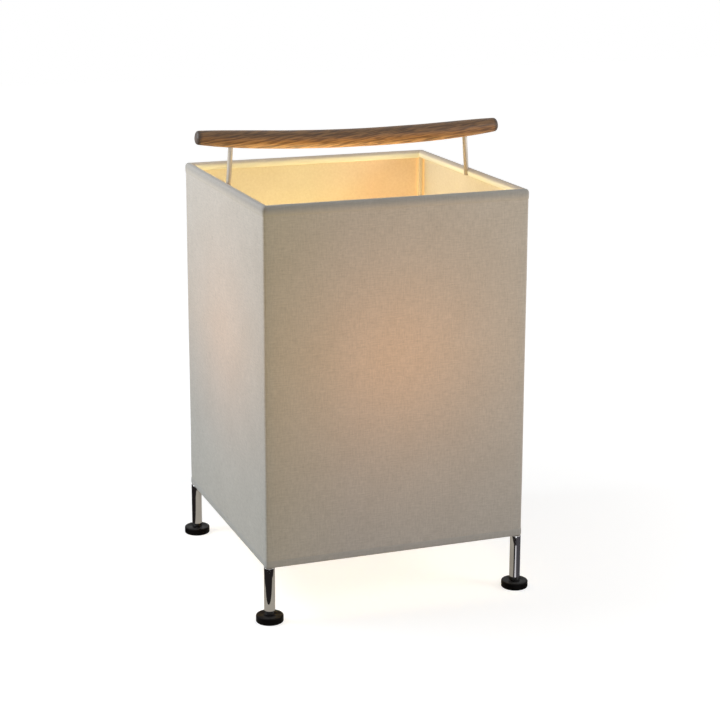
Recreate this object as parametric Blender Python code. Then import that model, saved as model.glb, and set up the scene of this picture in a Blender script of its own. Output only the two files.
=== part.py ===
"""Table lamp: a square fabric shade on four chromed legs, carried by a wooden handle over its mouth.

The origin lies on the floor under the middle of the lamp. +X runs along the handle and +Z points up.
"""

import math

import bmesh
import bpy
from mathutils import Matrix, Vector

# Fit: the gap left between two pieces that touch, in metres like every size below
CLEARANCE = 0.0003

# Shade: fabric laminated on a stiff liner, its two edges bound with tape
SHADE_WIDTH = 0.250
SHADE_HEIGHT = 0.3276
SHADE_WALL = 0.0008
SHADE_CORNER_RADIUS = 0.003
TAPE_THICKNESS = 0.0004
TAPE_FOLD_EASE = 0.0003
TOP_TAPE_OUTER_DEPTH = 0.005
TOP_TAPE_INNER_DEPTH = 0.003
BOTTOM_TAPE_OUTER_DEPTH = 0.003
BOTTOM_TAPE_INNER_DEPTH = 0.002

# Frame: a wire ring at the shade's mouth, four corner posts and a flat bar frame at the bottom
RING_WIRE_DIAMETER = 0.004
RING_CORNER_RADIUS = 0.004
POST_DIAMETER = 0.005
POST_THREAD_DIAMETER = 0.004
POST_THREAD_IN_LEG = 0.016
POST_CHAMFER = 0.0005
BASE_FRAME_WIDTH = 0.012
BASE_FRAME_THICKNESS = 0.003
BASE_FRAME_INNER_RADIUS = 0.003
CROSSBAR_WIDTH = 0.016
CROSSBAR_THICKNESS = 0.003
CROSSBAR_END_MARGIN = 0.001
CROSSBAR_CORNER_RADIUS = 0.004
CROSSBAR_SCREW_DIAMETER = 0.004
CROSSBAR_SCREW_HEAD_DIAMETER = 0.0075
CROSSBAR_SCREW_HEAD_HEIGHT = 0.0026

# Legs and the screw-in feet under them
LEG_DIAMETER = 0.010
LEG_LENGTH = 0.0444
LEG_CHAMFER = 0.0005
BORE_END_ROOM = 0.002
FOOT_DIAMETER = 0.025
FOOT_HEIGHT = 0.0065
FOOT_TOP_RADIUS = 0.0015
FOOT_BOTTOM_RADIUS = 0.001
STUD_DIAMETER = 0.006
STUD_IN_FOOT = 0.0042
STUD_IN_LEG = 0.016
STUD_CHAMFER = 0.0006

# Handle: a turned bar bent upward at its ends, on two rods set square to it inside the ring
HANDLE_LENGTH = 0.297
HANDLE_DIAMETER = 0.017
HANDLE_END_DIAMETER = 0.0138
HANDLE_TAPER_POWER = 4
HANDLE_END_RADIUS = 0.003
HANDLE_SWEEP = 0.0066
HANDLE_HEIGHT_OVER_RIM = 0.0345
ROD_DIAMETER = 0.0045
ROD_IN_HANDLE = 0.010
ROD_INSET_FROM_RING = 0.0027
ROD_FOOT_UNDER_RING = 0.002

# Lampholder on its riser
PIPE_DIAMETER = 0.010
PIPE_BORE_DIAMETER = 0.007
PIPE_NUT_FLATS = 0.014
PIPE_NUT_HEIGHT = 0.004
PIPE_END_MARGIN = 0.002
WASHER_DIAMETER = 0.018
WASHER_THICKNESS = 0.0012
BUSHING_FLANGE_DIAMETER = 0.011
BUSHING_FLANGE_THICKNESS = 0.0016
BUSHING_LENGTH = 0.007
BUSHING_BORE_DIAMETER = 0.0048
RISER_DIAMETER = 0.016
RISER_WALL = 0.001
RISER_LENGTH = 0.075
HOLDER_DIAMETER = 0.037
HOLDER_WALL = 0.0022
HOLDER_EDGE_RADIUS = 0.001
CAP_FLOOR = 0.003
CAP_WAIST_HEIGHT = 0.009
CAP_LEDGE_HEIGHT = 0.015
CAP_LEDGE_WIDTH = 0.0028
CAP_HEIGHT = 0.021
CAP_NUT_ROOM = 0.001
SLEEVE_HEIGHT = 0.032
SLEEVE_LIP_WIDTH = 0.0018
INSERT_THICKNESS = 0.007
INSERT_BORE_DIAMETER = 0.004
SHELL_HEIGHT = 0.024
SHELL_WALL = 0.0006
SHELL_PLAY = 0.0006
SHELL_FLANGE_WIDTH = 0.004
CONTACT_WIDTH = 0.005
CONTACT_REACH = 0.006
CONTACT_THICKNESS = 0.0006
CONTACT_RISE = 0.004

# Bulb
BULB_DIAMETER = 0.060
BULB_LENGTH = 0.105
BULB_GLASS = 0.001
BULB_TANGENT_ANGLE = math.radians(-38)
BULB_CAP_DIAMETER = 0.0264
BULB_CAP_WALL = 0.0006
BULB_CAP_BOTTOM = 0.006
BULB_CAP_TOP = 0.027
BULB_NECK_IN_CAP = 0.007
BULB_INSULATOR_BOTTOM_DIAMETER = 0.012
BULB_INSULATOR_THICKNESS = 0.005
BULB_CONTACT_DIAMETER = 0.0096
BULB_CONTACT_HEIGHT = 0.0022
STEM_DIAMETER = 0.007
STEM_FLANGE_THICKNESS = 0.0012
STEM_LENGTH = 0.032
FILAMENT_DIAMETER = 0.0008
FILAMENT_SPAN = 0.018
FILAMENT_HEIGHT = 0.016
FILAMENT_FEET_SPAN = 0.004

# Fineness of round shapes
ROUND_SIDES = 24
SMALL_ROUND_SIDES = 16
NUT_SIDES = 24
WIRE_SIDES = 12
CORNER_STEPS = 5
FILLET_STEPS = 4
BULB_STEPS = 7
HANDLE_STATIONS = 16
SMOOTH_ANGLE = math.radians(40)
MERGE_DISTANCE = 0.000001
CUT_MARGIN = 0.001

# Places that follow from the sizes, counted from the floor or from the lamp's middle
SHADE_HALF = SHADE_WIDTH / 2
TAPE_STEP = CLEARANCE + TAPE_THICKNESS
LINER_HALF = SHADE_HALF - SHADE_WALL
INSIDE_HALF = LINER_HALF - TAPE_STEP - CLEARANCE
LEG_BOTTOM = FOOT_HEIGHT + CLEARANCE
LEG_TOP = LEG_BOTTOM + LEG_LENGTH
BASE_FRAME_BOTTOM = LEG_TOP + CLEARANCE
BASE_FRAME_TOP = BASE_FRAME_BOTTOM + BASE_FRAME_THICKNESS
SHADE_BOTTOM = BASE_FRAME_BOTTOM + TAPE_STEP
SHADE_TOP = SHADE_BOTTOM + SHADE_HEIGHT
RING_HALF = INSIDE_HALF - RING_WIRE_DIAMETER / 2
RING_HEIGHT = SHADE_TOP - TOP_TAPE_INNER_DEPTH - CLEARANCE - RING_WIRE_DIAMETER / 2
POST_OFFSET = INSIDE_HALF - POST_DIAMETER / 2
BASE_FRAME_INNER_HALF = INSIDE_HALF - BASE_FRAME_WIDTH
CROSSBAR_BOTTOM = BASE_FRAME_TOP + CLEARANCE
CROSSBAR_TOP = CROSSBAR_BOTTOM + CROSSBAR_THICKNESS
CROSSBAR_HALF = INSIDE_HALF - CROSSBAR_END_MARGIN
CROSSBAR_SCREW_OFFSET = INSIDE_HALF - BASE_FRAME_WIDTH / 2
HANDLE_MIDDLE = SHADE_TOP + HANDLE_HEIGHT_OVER_RIM
HANDLE_RADIUS_OF_BEND = (HANDLE_LENGTH ** 2 / 4 + HANDLE_SWEEP ** 2) / (2 * HANDLE_SWEEP)
HANDLE_BEND_CENTRE = Vector((0, 0, HANDLE_MIDDLE + HANDLE_RADIUS_OF_BEND))
WASHER_BOTTOM = CROSSBAR_BOTTOM - CLEARANCE - WASHER_THICKNESS
PIPE_NUT_BOTTOM = WASHER_BOTTOM - CLEARANCE - PIPE_NUT_HEIGHT
PIPE_BOTTOM = PIPE_NUT_BOTTOM - PIPE_END_MARGIN
RISER_BOTTOM = CROSSBAR_TOP + CLEARANCE
CAP_BOTTOM = RISER_BOTTOM + RISER_LENGTH + CLEARANCE
CAP_NUT_BOTTOM = CAP_BOTTOM + CAP_FLOOR + CLEARANCE
PIPE_TOP = CAP_NUT_BOTTOM + PIPE_NUT_HEIGHT + PIPE_END_MARGIN
HOLDER_RADIUS = HOLDER_DIAMETER / 2
HOLDER_INNER_RADIUS = HOLDER_RADIUS - HOLDER_WALL
SLEEVE_BOTTOM = CAP_BOTTOM + CAP_HEIGHT + CLEARANCE
INSERT_BOTTOM = CAP_BOTTOM + CAP_LEDGE_HEIGHT + CLEARANCE
INSERT_TOP = INSERT_BOTTOM + INSERT_THICKNESS
SHELL_INNER_RADIUS = BULB_CAP_DIAMETER / 2 + SHELL_PLAY
BULB_TIP = INSERT_TOP + CLEARANCE + CONTACT_RISE + CLEARANCE
BULB_CENTRE = BULB_LENGTH - BULB_DIAMETER / 2
BULB_NECK_RADIUS = BULB_CAP_DIAMETER / 2 - BULB_CAP_WALL - CLEARANCE
BULB_NECK_BOTTOM = BULB_CAP_TOP - BULB_NECK_IN_CAP

CORNERS = {
    "front_left": (-1, -1),
    "front_right": (1, -1),
    "back_left": (-1, 1),
    "back_right": (1, 1),
}
SIDES = {"left": -1, "right": 1}


def clear_scene():
    """Empty the scene of whatever objects it starts with."""
    for obj in list(bpy.data.objects):
        bpy.data.objects.remove(obj, do_unlink=True)


def finish(name, colour, roughness, metallic=0.0):
    """Make a plain material from a linear colour, a roughness and a metallic value."""
    material = bpy.data.materials.new(name)
    material.use_nodes = True
    shader = material.node_tree.nodes["Principled BSDF"]
    shader.inputs["Base Color"].default_value = (*colour, 1.0)
    shader.inputs["Roughness"].default_value = roughness
    shader.inputs["Metallic"].default_value = metallic
    material.diffuse_color = (*colour, 1.0)
    return material


def link(name, data, place=(0, 0, 0), parent=None):
    """Put a mesh or curve into the scene as one named piece."""
    obj = bpy.data.objects.new(name, data)
    bpy.context.scene.collection.objects.link(obj)
    obj.parent = parent
    obj.location = place
    return obj


def add_piece(name, form, material, place=(0, 0, 0), parent=None):
    """Turn a bmesh into a named piece with smooth round faces and its own copy of a material."""
    bmesh.ops.recalc_face_normals(form, faces=form.faces)
    mesh = bpy.data.meshes.new(name)
    form.to_mesh(mesh)
    form.free()
    mesh.shade_smooth()
    mesh.set_sharp_from_angle(angle=SMOOTH_ANGLE)
    own_material = material.copy()
    own_material.name = name
    mesh.materials.append(own_material)
    return link(name, mesh, place, parent)


def cut(piece, form):
    """Cut a form out of a piece; the cutter stays in the scene as a hidden guide."""
    bmesh.ops.recalc_face_normals(form, faces=form.faces)
    mesh = bpy.data.meshes.new(piece.name + "_cutter")
    form.to_mesh(mesh)
    form.free()
    cutter = link(piece.name + "_cutter", mesh, parent=piece)
    cutter.hide_render = True
    cutter.display_type = "WIRE"
    boolean = piece.modifiers.new("holes", "BOOLEAN")
    boolean.operation = "DIFFERENCE"
    boolean.solver = "EXACT"
    boolean.object = cutter


def square_outline(half, radius, height):
    """Points round a square with rounded corners, at one height."""
    points = []
    for quarter, (sign_x, sign_y) in enumerate(((1, 1), (-1, 1), (-1, -1), (1, -1))):
        centre = Vector((sign_x * (half - radius), sign_y * (half - radius), height))
        for step in range(CORNER_STEPS + 1):
            angle = math.radians(90) * (quarter + step / CORNER_STEPS)
            points.append(centre + radius * Vector((math.cos(angle), math.sin(angle), 0)))
    return points


def circle_outline(radius, height, sides):
    """Points round a circle, at one height."""
    turns = [2 * math.pi * side / sides for side in range(sides)]
    return [Vector((radius * math.cos(turn), radius * math.sin(turn), height)) for turn in turns]


def hexagon_outline(flats, height, sides):
    """Points round a hexagon of a given width across flats, at one height."""
    points = []
    for point in circle_outline(flats / 2, height, sides):
        turn = math.atan2(point.y, point.x) % math.radians(60) - math.radians(30)
        points.append(Vector((point.x / math.cos(turn), point.y / math.cos(turn), height)))
    return points


def ring_of(outlines):
    """Join outlines of equal count into a closed ring whose cross-section runs through them in order."""
    form = bmesh.new()
    loops = [[form.verts.new(point) for point in outline] for outline in outlines]
    count = len(loops[0])
    for loop, following in zip(loops, loops[1:] + loops[:1]):
        for index in range(count):
            after = (index + 1) % count
            form.faces.new((loop[index], loop[after], following[after], following[index]))
    return form


def turned(profile, sides=ROUND_SIDES):
    """Turn a profile of (radius, height) points about Z; it is closed unless both ends lie on the axis."""
    form = bmesh.new()
    points = [form.verts.new((radius, 0, height)) for radius, height in profile]
    edges = [form.edges.new(pair) for pair in zip(points, points[1:])]
    if max(profile[0][0], profile[-1][0]) > 0:
        edges.append(form.edges.new((points[-1], points[0])))
    bmesh.ops.spin(
        form,
        geom=points + edges,
        cent=(0, 0, 0),
        axis=(0, 0, 1),
        angle=2 * math.pi,
        steps=sides,
        use_merge=True,
    )
    bmesh.ops.remove_doubles(form, verts=form.verts, dist=MERGE_DISTANCE)
    return form


def tube_profile(outer, inner, bottom, top):
    """Profile of a plain tube or washer."""
    return [(inner, bottom), (outer, bottom), (outer, top), (inner, top)]


def fillet(centre, radius, start, end):
    """Points along a round edge in a profile, from one angle to another, in degrees."""
    points = []
    for step in range(FILLET_STEPS + 1):
        angle = math.radians(start + (end - start) * step / FILLET_STEPS)
        points.append((centre[0] + radius * math.cos(angle), centre[1] + radius * math.sin(angle)))
    return points


def pillar(radius, bottom, top, sides=SMALL_ROUND_SIDES):
    """A plain round bar about Z, used for cutting holes."""
    return turned([(0, bottom), (radius, bottom), (radius, top), (0, top)], sides)


def drill_set(holes, bottom, top):
    """Cutter with one bar for each hole, given as x, y and radius."""
    form = bmesh.new()
    for x, y, radius in holes:
        bar = pillar(radius, bottom, top)
        bmesh.ops.translate(bar, verts=bar.verts, vec=(x, y, 0))
        mesh = bpy.data.meshes.new("drill")
        bar.to_mesh(mesh)
        bar.free()
        form.from_mesh(mesh)
        bpy.data.meshes.remove(mesh)
    return form


def make_shade(fabric, tape):
    """Square fabric tube with a U of tape folded over its top and bottom edges."""
    inner_radius = SHADE_CORNER_RADIUS - SHADE_WALL
    walls = ring_of([
        square_outline(SHADE_HALF, SHADE_CORNER_RADIUS, SHADE_BOTTOM),
        square_outline(SHADE_HALF, SHADE_CORNER_RADIUS, SHADE_TOP),
        square_outline(LINER_HALF, inner_radius, SHADE_TOP),
        square_outline(LINER_HALF, inner_radius, SHADE_BOTTOM),
    ])
    add_piece("shade_panel", walls, fabric)
    add_piece("top_binding", tape_form(SHADE_TOP, -1, TOP_TAPE_OUTER_DEPTH, TOP_TAPE_INNER_DEPTH), tape)
    depths = (BOTTOM_TAPE_OUTER_DEPTH, BOTTOM_TAPE_INNER_DEPTH)
    add_piece("bottom_binding", tape_form(SHADE_BOTTOM, 1, *depths), tape)


def tape_form(edge, inward, outer_depth, inner_depth):
    """Tape folded over one edge of the shade; inward is +1 where the shade lies above that edge."""
    fold = edge - inward * TAPE_STEP
    eased = fold + inward * TAPE_FOLD_EASE
    section = [
        (SHADE_HALF + CLEARANCE, edge + inward * outer_depth),
        (SHADE_HALF + TAPE_STEP, edge + inward * outer_depth),
        (SHADE_HALF + TAPE_STEP, eased),
        (SHADE_HALF + TAPE_STEP - TAPE_FOLD_EASE, fold),
        (LINER_HALF - TAPE_STEP + TAPE_FOLD_EASE, fold),
        (LINER_HALF - TAPE_STEP, eased),
        (LINER_HALF - TAPE_STEP, edge + inward * inner_depth),
        (LINER_HALF - CLEARANCE, edge + inward * inner_depth),
        (LINER_HALF - CLEARANCE, edge - inward * CLEARANCE),
        (SHADE_HALF + CLEARANCE, edge - inward * CLEARANCE),
    ]
    corner = SHADE_CORNER_RADIUS - SHADE_HALF
    return ring_of([square_outline(half, corner + half, height) for half, height in section])


def make_frame(steel):
    """Wire ring, corner posts, flat base frame and the crossbar that carries the lampholder."""
    wire = RING_WIRE_DIAMETER / 2
    section = []
    for step in range(WIRE_SIDES):
        angle = 2 * math.pi * step / WIRE_SIDES
        outward = wire * math.cos(angle)
        height = RING_HEIGHT + wire * math.sin(angle)
        section.append(square_outline(RING_HALF + outward, RING_CORNER_RADIUS + outward, height))
    add_piece("top_ring", ring_of(section), steel)

    edge_radius = SHADE_CORNER_RADIUS - (SHADE_HALF - INSIDE_HALF)
    flat = ring_of([
        square_outline(INSIDE_HALF, edge_radius, BASE_FRAME_BOTTOM),
        square_outline(INSIDE_HALF, edge_radius, BASE_FRAME_TOP),
        square_outline(BASE_FRAME_INNER_HALF, BASE_FRAME_INNER_RADIUS, BASE_FRAME_TOP),
        square_outline(BASE_FRAME_INNER_HALF, BASE_FRAME_INNER_RADIUS, BASE_FRAME_BOTTOM),
    ])
    base_frame = add_piece("base_frame", flat, steel)
    thread_hole = POST_THREAD_DIAMETER / 2 + CLEARANCE
    screw_hole = CROSSBAR_SCREW_DIAMETER / 2 + CLEARANCE
    holes = [(x * POST_OFFSET, y * POST_OFFSET, thread_hole) for x, y in CORNERS.values()]
    holes += [(side * CROSSBAR_SCREW_OFFSET, 0, screw_hole) for side in SIDES.values()]
    cut(base_frame, drill_set(holes, BASE_FRAME_BOTTOM - CUT_MARGIN, BASE_FRAME_TOP + CUT_MARGIN))

    for corner, (x, y) in CORNERS.items():
        add_piece("corner_post_" + corner, post_form(), steel, (x * POST_OFFSET, y * POST_OFFSET, 0))

    bar = bmesh.new()
    size = Matrix.Diagonal((2 * CROSSBAR_HALF, CROSSBAR_WIDTH, CROSSBAR_THICKNESS, 1))
    middle = Matrix.Translation((0, 0, (CROSSBAR_BOTTOM + CROSSBAR_TOP) / 2))
    bmesh.ops.create_cube(bar, size=1, matrix=middle @ size)
    upright = [edge for edge in bar.edges if abs(edge.verts[0].co.z - edge.verts[1].co.z) > CLEARANCE]
    bmesh.ops.bevel(bar, geom=upright, offset=CROSSBAR_CORNER_RADIUS, segments=FILLET_STEPS, affect="EDGES")
    crossbar = add_piece("holder_crossbar", bar, steel)
    holes = [(side * CROSSBAR_SCREW_OFFSET, 0, screw_hole) for side in SIDES.values()]
    holes.append((0, 0, PIPE_DIAMETER / 2 + CLEARANCE))
    cut(crossbar, drill_set(holes, CROSSBAR_BOTTOM - CUT_MARGIN, CROSSBAR_TOP + CUT_MARGIN))
    for side, sign in SIDES.items():
        place = (sign * CROSSBAR_SCREW_OFFSET, 0, CROSSBAR_TOP + CLEARANCE)
        add_piece("crossbar_screw_" + side, crossbar_screw_form(), steel, place)


def post_form():
    """Corner post with a threaded end that passes through the base frame into the leg."""
    shoulder = BASE_FRAME_TOP + CLEARANCE
    top = RING_HEIGHT - RING_WIRE_DIAMETER / 2 - CLEARANCE
    thread = POST_THREAD_DIAMETER / 2
    radius = POST_DIAMETER / 2
    bottom = LEG_TOP - POST_THREAD_IN_LEG
    return turned(
        [
            (0, bottom),
            (thread - POST_CHAMFER, bottom),
            (thread, bottom + POST_CHAMFER),
            (thread, shoulder),
            (radius, shoulder),
            (radius, top),
            (0, top),
        ],
        SMALL_ROUND_SIDES,
    )


def crossbar_screw_form():
    """Pan-head screw, counted from the underside of its head."""
    head = CROSSBAR_SCREW_HEAD_DIAMETER / 2
    shank = CROSSBAR_SCREW_DIAMETER / 2
    crown = CROSSBAR_SCREW_HEAD_HEIGHT / 2
    end = BASE_FRAME_BOTTOM - CROSSBAR_TOP - CLEARANCE
    rim = fillet((head - crown, crown), crown, 0, 90)
    return turned([(0, end), (shank, end), (shank, 0), (head, 0), *rim, (0, 2 * crown)], SMALL_ROUND_SIDES)


def make_legs(chrome, plastic, steel):
    """Chromed legs under the base frame's corners, each with a screw-in foot."""
    for corner, (x, y) in CORNERS.items():
        spot = (x * POST_OFFSET, y * POST_OFFSET)
        add_piece("leg_" + corner, leg_form(), chrome, (*spot, LEG_BOTTOM))
        add_piece("foot_pad_" + corner, foot_pad_form(), plastic, (*spot, 0))
        add_piece("foot_stud_" + corner, foot_stud_form(), steel, (*spot, FOOT_HEIGHT))


def leg_form():
    """Turned leg, drilled at its bottom for the foot's stud and at its top for the corner post."""
    radius = LEG_DIAMETER / 2
    stud_bore = STUD_DIAMETER / 2 + CLEARANCE
    post_bore = POST_THREAD_DIAMETER / 2 + CLEARANCE
    stud_depth = STUD_IN_LEG + BORE_END_ROOM
    post_depth = POST_THREAD_IN_LEG + BORE_END_ROOM
    return turned([
        (0, stud_depth),
        (stud_bore, stud_depth),
        (stud_bore, 0),
        (radius - LEG_CHAMFER, 0),
        (radius, LEG_CHAMFER),
        (radius, LEG_LENGTH - LEG_CHAMFER),
        (radius - LEG_CHAMFER, LEG_LENGTH),
        (post_bore, LEG_LENGTH),
        (post_bore, LEG_LENGTH - post_depth),
        (0, LEG_LENGTH - post_depth),
    ])


def foot_pad_form():
    """Round foot with eased edges and a blind hole for its stud."""
    radius = FOOT_DIAMETER / 2
    hole = STUD_DIAMETER / 2 + CLEARANCE
    hole_bottom = FOOT_HEIGHT - STUD_IN_FOOT - CLEARANCE
    return turned([
        (0, 0),
        *fillet((radius - FOOT_BOTTOM_RADIUS, FOOT_BOTTOM_RADIUS), FOOT_BOTTOM_RADIUS, -90, 0),
        *fillet((radius - FOOT_TOP_RADIUS, FOOT_HEIGHT - FOOT_TOP_RADIUS), FOOT_TOP_RADIUS, 0, 90),
        (hole, FOOT_HEIGHT),
        (hole, hole_bottom),
        (0, hole_bottom),
    ])


def foot_stud_form():
    """Threaded stud, counted from the top of its foot."""
    radius = STUD_DIAMETER / 2
    top = CLEARANCE + STUD_IN_LEG
    return turned(
        [
            (0, -STUD_IN_FOOT),
            (radius, -STUD_IN_FOOT),
            (radius, top - STUD_CHAMFER),
            (radius - STUD_CHAMFER, top),
            (0, top),
        ],
        SMALL_ROUND_SIDES,
    )


def handle_radius(share):
    """Half thickness of the handle at a share of its half length: full in the middle, slim at the ends."""
    slimming = (HANDLE_DIAMETER - HANDLE_END_DIAMETER) * abs(share) ** HANDLE_TAPER_POWER
    return (HANDLE_DIAMETER - slimming) / 2


def handle_stations():
    """Pairs of distance along the handle from its middle and half thickness there, end fillets included."""
    half = HANDLE_LENGTH / 2
    straight = half - HANDLE_END_RADIUS
    stations = []
    for step in range(HANDLE_STATIONS + 1):
        along = straight * (2 * step / HANDLE_STATIONS - 1)
        stations.append((along, handle_radius(along / half)))
    end_radius = stations[-1][1]
    for step in range(1, FILLET_STEPS + 1):
        angle = math.radians(90) * step / FILLET_STEPS
        along = straight + HANDLE_END_RADIUS * math.sin(angle)
        thickness = end_radius - HANDLE_END_RADIUS * (1 - math.cos(angle))
        stations.append((along, thickness))
        stations.insert(0, (-along, thickness))
    return stations


def handle_form():
    """Wooden bar lofted along its bend through circles square to it."""
    form = bmesh.new()
    loops = []
    for along, radius in handle_stations():
        bend = math.asin(along / HANDLE_RADIUS_OF_BEND)
        upward = Vector((-math.sin(bend), 0, math.cos(bend)))
        middle = HANDLE_BEND_CENTRE - HANDLE_RADIUS_OF_BEND * upward
        loop = []
        for point in circle_outline(radius, 0, ROUND_SIDES):
            loop.append(form.verts.new(middle + point.x * upward + Vector((0, point.y, 0))))
        loops.append(loop)
    for loop, following in zip(loops, loops[1:]):
        for index in range(ROUND_SIDES):
            after = (index + 1) % ROUND_SIDES
            form.faces.new((loop[index], loop[after], following[after], following[index]))
    form.faces.new(loops[0])
    form.faces.new(loops[-1])
    return form


def make_handle(wood, chrome):
    """Handle bar on two rods that lean against the ring's inner side and point at the centre of its bend."""
    bar = add_piece("handle_bar", handle_form(), wood)
    sockets = bmesh.new()
    for side, sign in SIDES.items():
        ring_point = Vector((sign * RING_HALF, 0, RING_HEIGHT))
        foot = ring_point - Vector((sign * ROD_INSET_FROM_RING, 0, ROD_FOOT_UNDER_RING))
        reach = HANDLE_BEND_CENTRE - foot
        tilt = Vector((0, 0, 1)).rotation_difference(reach)
        to_bar = reach.length - HANDLE_RADIUS_OF_BEND
        along = HANDLE_RADIUS_OF_BEND * math.sin(abs(tilt.angle))
        underside = to_bar - handle_radius(2 * along / HANDLE_LENGTH)
        rod_form = pillar(ROD_DIAMETER / 2, 0, underside + ROD_IN_HANDLE)
        rod = add_piece("handle_rod_" + side, rod_form, chrome, foot)
        rod.rotation_mode = "QUATERNION"
        rod.rotation_quaternion = tilt
        cut(rod, saddle_form(tilt.inverted() @ (ring_point - foot)))
        socket_top = underside + ROD_IN_HANDLE + CLEARANCE
        socket = pillar(ROD_DIAMETER / 2 + CLEARANCE, underside - HANDLE_DIAMETER / 2, socket_top)
        bmesh.ops.transform(socket, matrix=Matrix.LocRotScale(foot, tilt, None), verts=socket.verts)
        mesh = bpy.data.meshes.new("socket")
        socket.to_mesh(mesh)
        socket.free()
        sockets.from_mesh(mesh)
        bpy.data.meshes.remove(mesh)
    cut(bar, sockets)


def saddle_form(centre):
    """Bar along Y through a point, which cuts the hollow where a rod hugs the ring's wire."""
    bar = pillar(RING_WIRE_DIAMETER / 2 + CLEARANCE, -ROD_DIAMETER, ROD_DIAMETER)
    lying = Matrix.Rotation(math.radians(90), 4, "X")
    bmesh.ops.transform(bar, matrix=Matrix.Translation(centre) @ lying, verts=bar.verts)
    return bar


def nut_form(flats, hole, bottom, top):
    """Hexagon nut with a plain bore."""
    return ring_of([
        circle_outline(hole, bottom, NUT_SIDES),
        hexagon_outline(flats, bottom, NUT_SIDES),
        hexagon_outline(flats, top, NUT_SIDES),
        circle_outline(hole, top, NUT_SIDES),
    ])


def make_holder(steel, brass, phenolic, ceramic, nylon):
    """Lampholder on a riser, clamped to the crossbar by a hollow threaded pipe."""
    pipe = PIPE_DIAMETER / 2
    bore = PIPE_BORE_DIAMETER / 2
    hole = pipe + CLEARANCE
    hollow_pipe = turned(tube_profile(pipe, bore, PIPE_BOTTOM, PIPE_TOP), SMALL_ROUND_SIDES)
    add_piece("threaded_pipe", hollow_pipe, steel)
    washer_top = WASHER_BOTTOM + WASHER_THICKNESS
    washer = turned(tube_profile(WASHER_DIAMETER / 2, hole, WASHER_BOTTOM, washer_top))
    add_piece("pipe_washer", washer, steel)
    lower_nut = nut_form(PIPE_NUT_FLATS, hole, PIPE_NUT_BOTTOM, PIPE_NUT_BOTTOM + PIPE_NUT_HEIGHT)
    add_piece("pipe_nut", lower_nut, steel)
    add_piece("cord_bushing", turned(bushing_profile(), SMALL_ROUND_SIDES), nylon)
    riser = RISER_DIAMETER / 2
    riser_top = RISER_BOTTOM + RISER_LENGTH
    add_piece("riser_tube", turned(tube_profile(riser, riser - RISER_WALL, RISER_BOTTOM, riser_top)), steel)
    add_piece("holder_cap", turned(holder_cap_profile()), phenolic, (0, 0, CAP_BOTTOM))
    upper_nut = nut_form(PIPE_NUT_FLATS, hole, CAP_NUT_BOTTOM, CAP_NUT_BOTTOM + PIPE_NUT_HEIGHT)
    add_piece("cap_nut", upper_nut, steel)
    add_piece("holder_sleeve", turned(holder_sleeve_profile()), phenolic, (0, 0, SLEEVE_BOTTOM))
    insert_radius = HOLDER_INNER_RADIUS - CLEARANCE
    insert = turned(tube_profile(insert_radius, INSERT_BORE_DIAMETER / 2, INSERT_BOTTOM, INSERT_TOP))
    add_piece("holder_insert", insert, ceramic)
    add_piece("screw_shell", turned(screw_shell_profile()), brass, (0, 0, INSERT_TOP + CLEARANCE))
    add_piece("centre_contact", centre_contact_form(), brass, (0, 0, INSERT_TOP + CLEARANCE))


def bushing_profile():
    """Flanged bushing pushed up into the pipe's lower end, where a cord would leave the lamp."""
    flange = BUSHING_FLANGE_DIAMETER / 2
    spigot = PIPE_BORE_DIAMETER / 2 - CLEARANCE
    bore = BUSHING_BORE_DIAMETER / 2
    seat = PIPE_BOTTOM - CLEARANCE
    bottom = seat - BUSHING_FLANGE_THICKNESS
    ease = BUSHING_FLANGE_THICKNESS / 2
    return [
        (bore, bottom + BUSHING_LENGTH),
        (bore, bottom + ease),
        *fillet((bore + ease, bottom + ease), ease, 180, 270),
        *fillet((flange - ease, bottom + ease), ease, -90, 0),
        (flange, seat),
        (spigot, seat),
        (spigot, bottom + BUSHING_LENGTH),
    ]


def holder_cap_profile():
    """Lower cup of the lampholder: entry hole, waist round the lock nut, flare, ledge for the insert."""
    hole = PIPE_DIAMETER / 2 + CLEARANCE
    waist = PIPE_NUT_FLATS / math.sqrt(3) + CAP_NUT_ROOM
    return [
        (hole, 0),
        (waist + HOLDER_WALL, 0),
        (waist + HOLDER_WALL, CAP_WAIST_HEIGHT - HOLDER_WALL),
        (HOLDER_RADIUS, CAP_LEDGE_HEIGHT - HOLDER_WALL),
        (HOLDER_RADIUS, CAP_HEIGHT),
        (HOLDER_INNER_RADIUS, CAP_HEIGHT),
        (HOLDER_INNER_RADIUS, CAP_LEDGE_HEIGHT),
        (HOLDER_INNER_RADIUS - CAP_LEDGE_WIDTH, CAP_LEDGE_HEIGHT),
        (waist, CAP_WAIST_HEIGHT),
        (waist, CAP_FLOOR),
        (hole, CAP_FLOOR),
    ]


def holder_sleeve_profile():
    """Outer sleeve of the lampholder with a lip turned in at its mouth."""
    lip = HOLDER_INNER_RADIUS - SLEEVE_LIP_WIDTH
    edge = HOLDER_EDGE_RADIUS
    return [
        (HOLDER_INNER_RADIUS, 0),
        (HOLDER_RADIUS, 0),
        *fillet((HOLDER_RADIUS - edge, SLEEVE_HEIGHT - edge), edge, 0, 90),
        (lip, SLEEVE_HEIGHT),
        (lip, SLEEVE_HEIGHT - HOLDER_WALL),
        (HOLDER_INNER_RADIUS, SLEEVE_HEIGHT - HOLDER_WALL),
    ]


def screw_shell_profile():
    """Brass shell that takes the bulb's screw cap, flanged inward where it sits on the insert."""
    outer = SHELL_INNER_RADIUS + SHELL_WALL
    flange = SHELL_INNER_RADIUS - SHELL_FLANGE_WIDTH
    return [
        (flange, 0),
        (outer, 0),
        (outer, SHELL_HEIGHT),
        (SHELL_INNER_RADIUS, SHELL_HEIGHT),
        (SHELL_INNER_RADIUS, SHELL_WALL),
        (flange, SHELL_WALL),
    ]


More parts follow.
